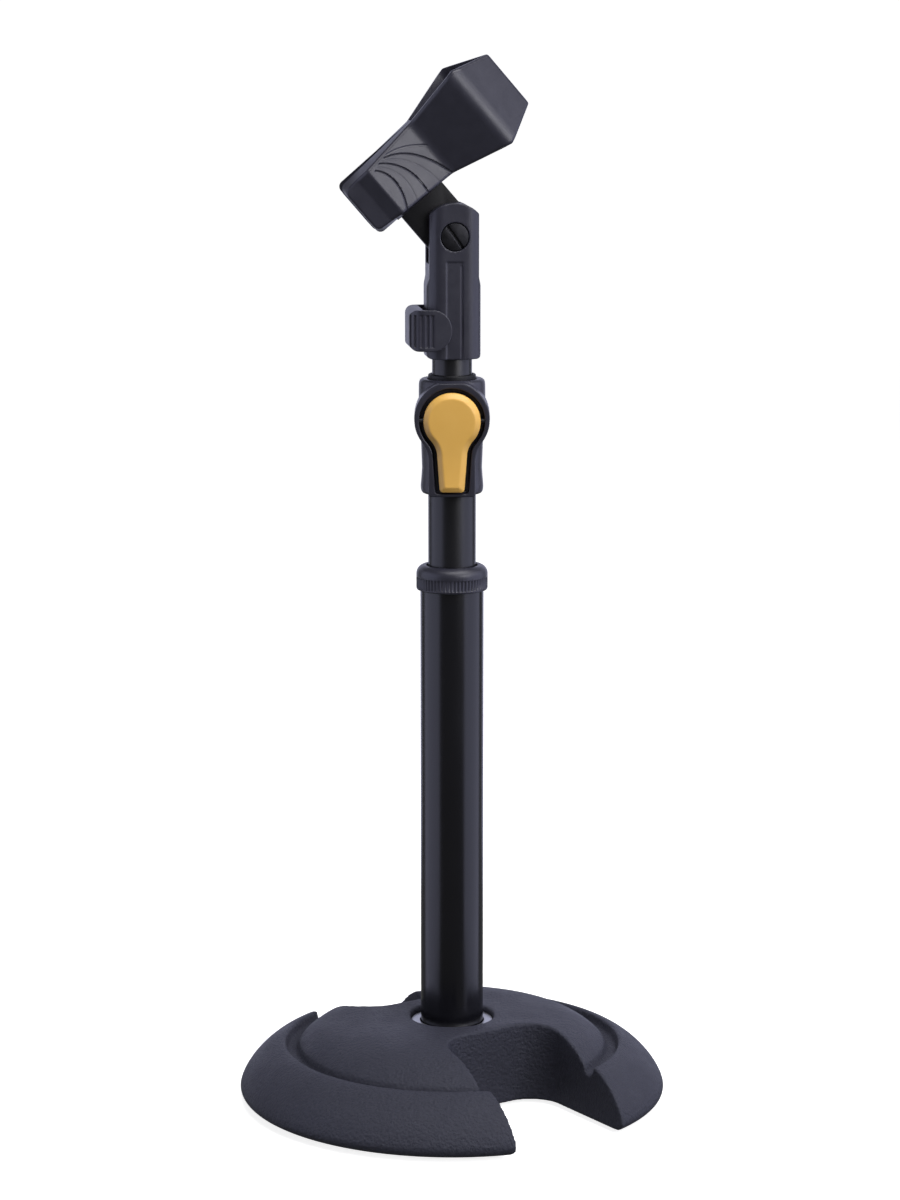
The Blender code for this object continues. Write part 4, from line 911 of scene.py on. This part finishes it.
def jaw_mesh(side):
    """The jaw as sections across it: its outside, two side walls and the hollow under the handle."""
    profile, outline = jaw_profile(), jaw_half_outline()
    stations = jaw_stations()
    swing = math.tan(math.radians(SWING))
    rings = []
    for u in stations:
        outside = np.interp(u, profile[:, 0], profile[:, 1]) - end_drop(u, JAW_LENGTH, END_ROUND)
        half = np.interp(u, outline[:, 0], outline[:, 1])
        slope = (np.interp(u + 0.1 * MM, profile[:, 0], profile[:, 1])
                 - np.interp(u - 0.1 * MM, profile[:, 0], profile[:, 1])) / (0.2 * MM)
        wall = JAW_WALL * math.sqrt(1 + min(abs(slope), 1.0) ** 2)
        roof = np.interp(u, profile[:, 0], profile[:, 1]) - wall
        in_head = u > WAIST_U + 0.905 * MM
        if in_head:
            edge = gate = roof
        else:
            edge = EDGE_GAP + (JAW_OPENING - EDGE_GAP) * max(0.0, 1 - u / JAW_PIN_U)
            in_gate = 9.005 * MM < u < 33.505 * MM
            gate = TONGUE_HALF + 0.6 * MM + (JAW_PIN_U - u) * swing if in_gate else edge
            gate = min(gate, roof)
            if u <= JAW_WALL + 0.005 * MM:
                roof = edge
        turn = EDGE_ROUND
        lean = HANDLE_DRAFT * max(0.0, 1 - u / WAIST_U)
        flat = half - lean - turn
        m = np.linspace(-flat, flat, ACROSS)
        corner = np.radians([72, 54, 36, 18, 0])
        around = flat + turn * np.cos(corner)
        dip = groove_depths(np.full_like(around, u), around) * np.sin(corner)
        section = list(zip(m, outside - groove_depths(np.full_like(m, u), m)))
        section += list(zip(around, outside - turn + turn * np.sin(corner) - dip))
        thin = half - JAW_WALL
        section += [(half, gate), (thin, gate), (thin - lean, max(roof, gate)), (lean - thin, roof),
                    (-thin, edge), (-half, edge)]
        section += [(-flat - turn * math.cos(a), outside - turn + turn * math.sin(a)) for a in corner[::-1]]
        rings.append([(u - PIVOT_U, -n * side, ARM_LENGTH - across) for across, n in section])
    count = len(rings[0])
    vertices = [point for ring in rings for point in ring]
    faces = [tuple(range(count)), tuple((len(rings) - 1) * count + j for j in reversed(range(count)))]
    for i in range(len(rings) - 1):
        for j in range(count):
            ahead = (j + 1) % count
            faces.append((i * count + j, i * count + ahead, (i + 1) * count + ahead, (i + 1) * count + j))
    return mesh_from(vertices, faces, CLIP)


def clip_pin(radius, start, end, steps=40):
    """A shaft along the jaw pin, from start to end across the clip."""
    return pin(radius, start, end, CLIP @ Matrix.Translation((JAW_PIN_U - PIVOT_U, 0, ARM_LENGTH)), steps)


def make_jaws():
    for side, which, ear in ((1, "front", FRONT_EAR), (-1, "rear", REAR_EAR)):
        body = f"{which}_clip_jaw"
        piece(f"{which}_jaw_shell", jaw_mesh(side), CHARCOAL, body,
              (f"{which}_jaw",), 35)
        for across, tag in ((1, "a"), (-1, "b")):
            start, end = sorted((across * ear, across * (ear + EAR_THICK)))
            lug = combined(clip_pin(3 * MM, start, end), ("DIFFERENCE", clip_pin(1.55 * MM, -FAR, FAR)))
            piece(f"{which}_lug_{tag}", bevelled(lug, 0.2 * MM), CHARCOAL, body)
        softened(f"{which}_pad", f"{which}_grip_pad", RUBBER, body, 0.35 * MM, 50)


def make_clip():
    make_jaws()
    softened("clip_tongue", "tongue_shell", BLACK, "clip_core", 0.5 * MM, 50)


# ---------------------------------------------------------------- plain CAD nodes

PLAIN = {
    ZINC: ["base_bolt", "base_washer", "tube_foot_plug", "clip_adapter"],
    BLACKENED: ["release_pin_front", "release_pin_back", "jaw_pin"],
    # the lever pin is near-black instead of steel: painted shade, so its ends in the gap round the lever
    # read as the dark recess
    BLACK: ["lever_pin"],
    STEEL: ["lock_plate_upper", "lock_plate_lower", "lock_spring", "jaw_spring"],
    ACETAL: ["top_bush", "mast_guide_bush", "rod_end_bush", "fork_washer_front", "fork_washer_back"],
}


def finish_plain_nodes():
    for material, nodes in PLAIN.items():
        for node in nodes:
            finish_node(node, material)


# ---------------------------------------------------------------- stage

FLOOR_RADIUS = 2.2
WALL_BEND = 1.0
WALL_HEIGHT = 3.0
FLOOR_GLOW = 0.84


def make_floor():
    """A pale round floor that curves up into a wall all round; it throws no light on the stand."""
    bend = [(FLOOR_RADIUS + WALL_BEND * math.sin(a), WALL_BEND - WALL_BEND * math.cos(a))
            for a in np.radians(range(0, 91, 6))]
    section = [(0.4, 0.0), (0.9, 0.0), *bend, (FLOOR_RADIUS + WALL_BEND, WALL_HEIGHT)]
    steps = 96
    vertices = [(0.0, 0.0, 0.0)]
    for i in range(steps):
        angle = 2 * math.pi * i / steps
        vertices += [(reach * math.cos(angle), reach * math.sin(angle), height) for reach, height in section]
    count = len(section)
    faces = []
    for i in range(steps):
        here, ahead = 1 + i * count, 1 + (i + 1) % steps * count
        faces.append((0, here, ahead))
        faces += [(here + j, here + j + 1, ahead + j + 1, ahead + j) for j in range(count - 1)]
    mesh = bpy.data.meshes.new("floor")
    mesh.from_pydata(vertices, [], faces)
    mesh.shade_smooth()
    floor = bpy.data.objects.new("floor", mesh)
    bpy.context.scene.collection.objects.link(floor)
    floor.visible_diffuse = False
    floor.visible_glossy = False
    floor.visible_shadow = False
    nodes = Nodes("floor_paper")
    tone = nodes.blend(nodes.noise(0.4, 3), (0.86, 0.86, 0.86), (0.88, 0.88, 0.88))
    mesh.materials.append(finish_material(nodes, tone, nodes.remap(nodes.noise(0.3, 2), 0.85, 0.95),
                                          nodes.bump(nodes.noise(0.002, 2), 0.02, 0.0005), 0.1))
    nodes.shader.inputs["Emission Color"].default_value = (1.0, 1.0, 1.0, 1.0)
    nodes.shader.inputs["Emission Strength"].default_value = FLOOR_GLOW


LIGHT_TARGET = (0.0, 0.0, 0.22)


COOL = (0.70, 0.72, 1.0)
NEUTRAL = (0.98, 0.97, 1.0)
WORLD_STRENGTH = 0.13
# Name, place, size, brightness, colour, and whether it only makes highlights
SOFTBOXES = [
    ("left_softbox", (-0.95, -0.15, 0.25), (1.4, 1.3), 1.2, COOL, True),
    ("right_softbox", (0.95, -0.15, 0.25), (1.4, 1.3), 1.3, COOL, True),
    ("rear_softbox", (0.0, 1.3, 0.3), (2.0, 1.2), 0.9, COOL, True),
    ("top_softbox", (0.25, -0.35, 1.35), (1.1, 0.9), 4.5, NEUTRAL, False),
    ("front_softbox", (1.0, -1.1, 0.80), (0.9, 0.7), 5.0, NEUTRAL, False),
    ("high_softbox", (1.05, -0.25, 1.0), (0.7, 0.7), 1.2, NEUTRAL, False),
]


def area_light(name, place, size, brightness, colour, sheen_only):
    """A softbox of size metres that looks this bright, hidden from the camera."""
    light = bpy.data.lights.new(name, "AREA")
    light.shape = "RECTANGLE"
    light.size, light.size_y = size
    light.energy = brightness * math.pi * size[0] * size[1]
    light.color = colour
    obj = bpy.data.objects.new(name, light)
    obj.location = place
    obj.rotation_euler = (Vector(LIGHT_TARGET) - Vector(place)).to_track_quat("-Z", "Y").to_euler()
    obj.visible_camera = False
    obj.visible_diffuse = not sheen_only
    bpy.context.scene.collection.objects.link(obj)


def make_stage():
    make_floor()
    world = bpy.data.worlds.new("studio")
    world.use_nodes = True
    background = world.node_tree.nodes["Background"]
    background.inputs["Color"].default_value = (1.0, 1.0, 1.0, 1.0)
    background.inputs["Strength"].default_value = WORLD_STRENGTH
    bpy.context.scene.world = world
    bpy.context.scene.view_settings.view_transform = "Standard"
    for name, place, size, brightness, colour, sheen_only in SOFTBOXES:
        area_light(name, place, size, brightness, colour, sheen_only)


CAMERA_AIM = Vector((-0.0008, 0.0, 0.207))
CAMERA_DISTANCE = 1.406
CAMERA_PITCH = math.radians(10.3)


def make_camera():
    camera = bpy.data.cameras.new("camera")
    camera.lens = 105
    camera.sensor_width = 36
    camera.clip_start = 0.01
    obj = bpy.data.objects.new("camera", camera)
    away = Vector((0, -math.cos(CAMERA_PITCH), math.sin(CAMERA_PITCH)))
    obj.location = CAMERA_AIM + away * CAMERA_DISTANCE
    obj.rotation_euler = (math.pi / 2 - CAMERA_PITCH, 0, 0)
    bpy.context.scene.collection.objects.link(obj)
    bpy.context.scene.camera = obj


make_camera()
make_base()
make_column()
make_clutch()
make_neck()
make_release()
make_clip()
finish_plain_nodes()
make_stage()
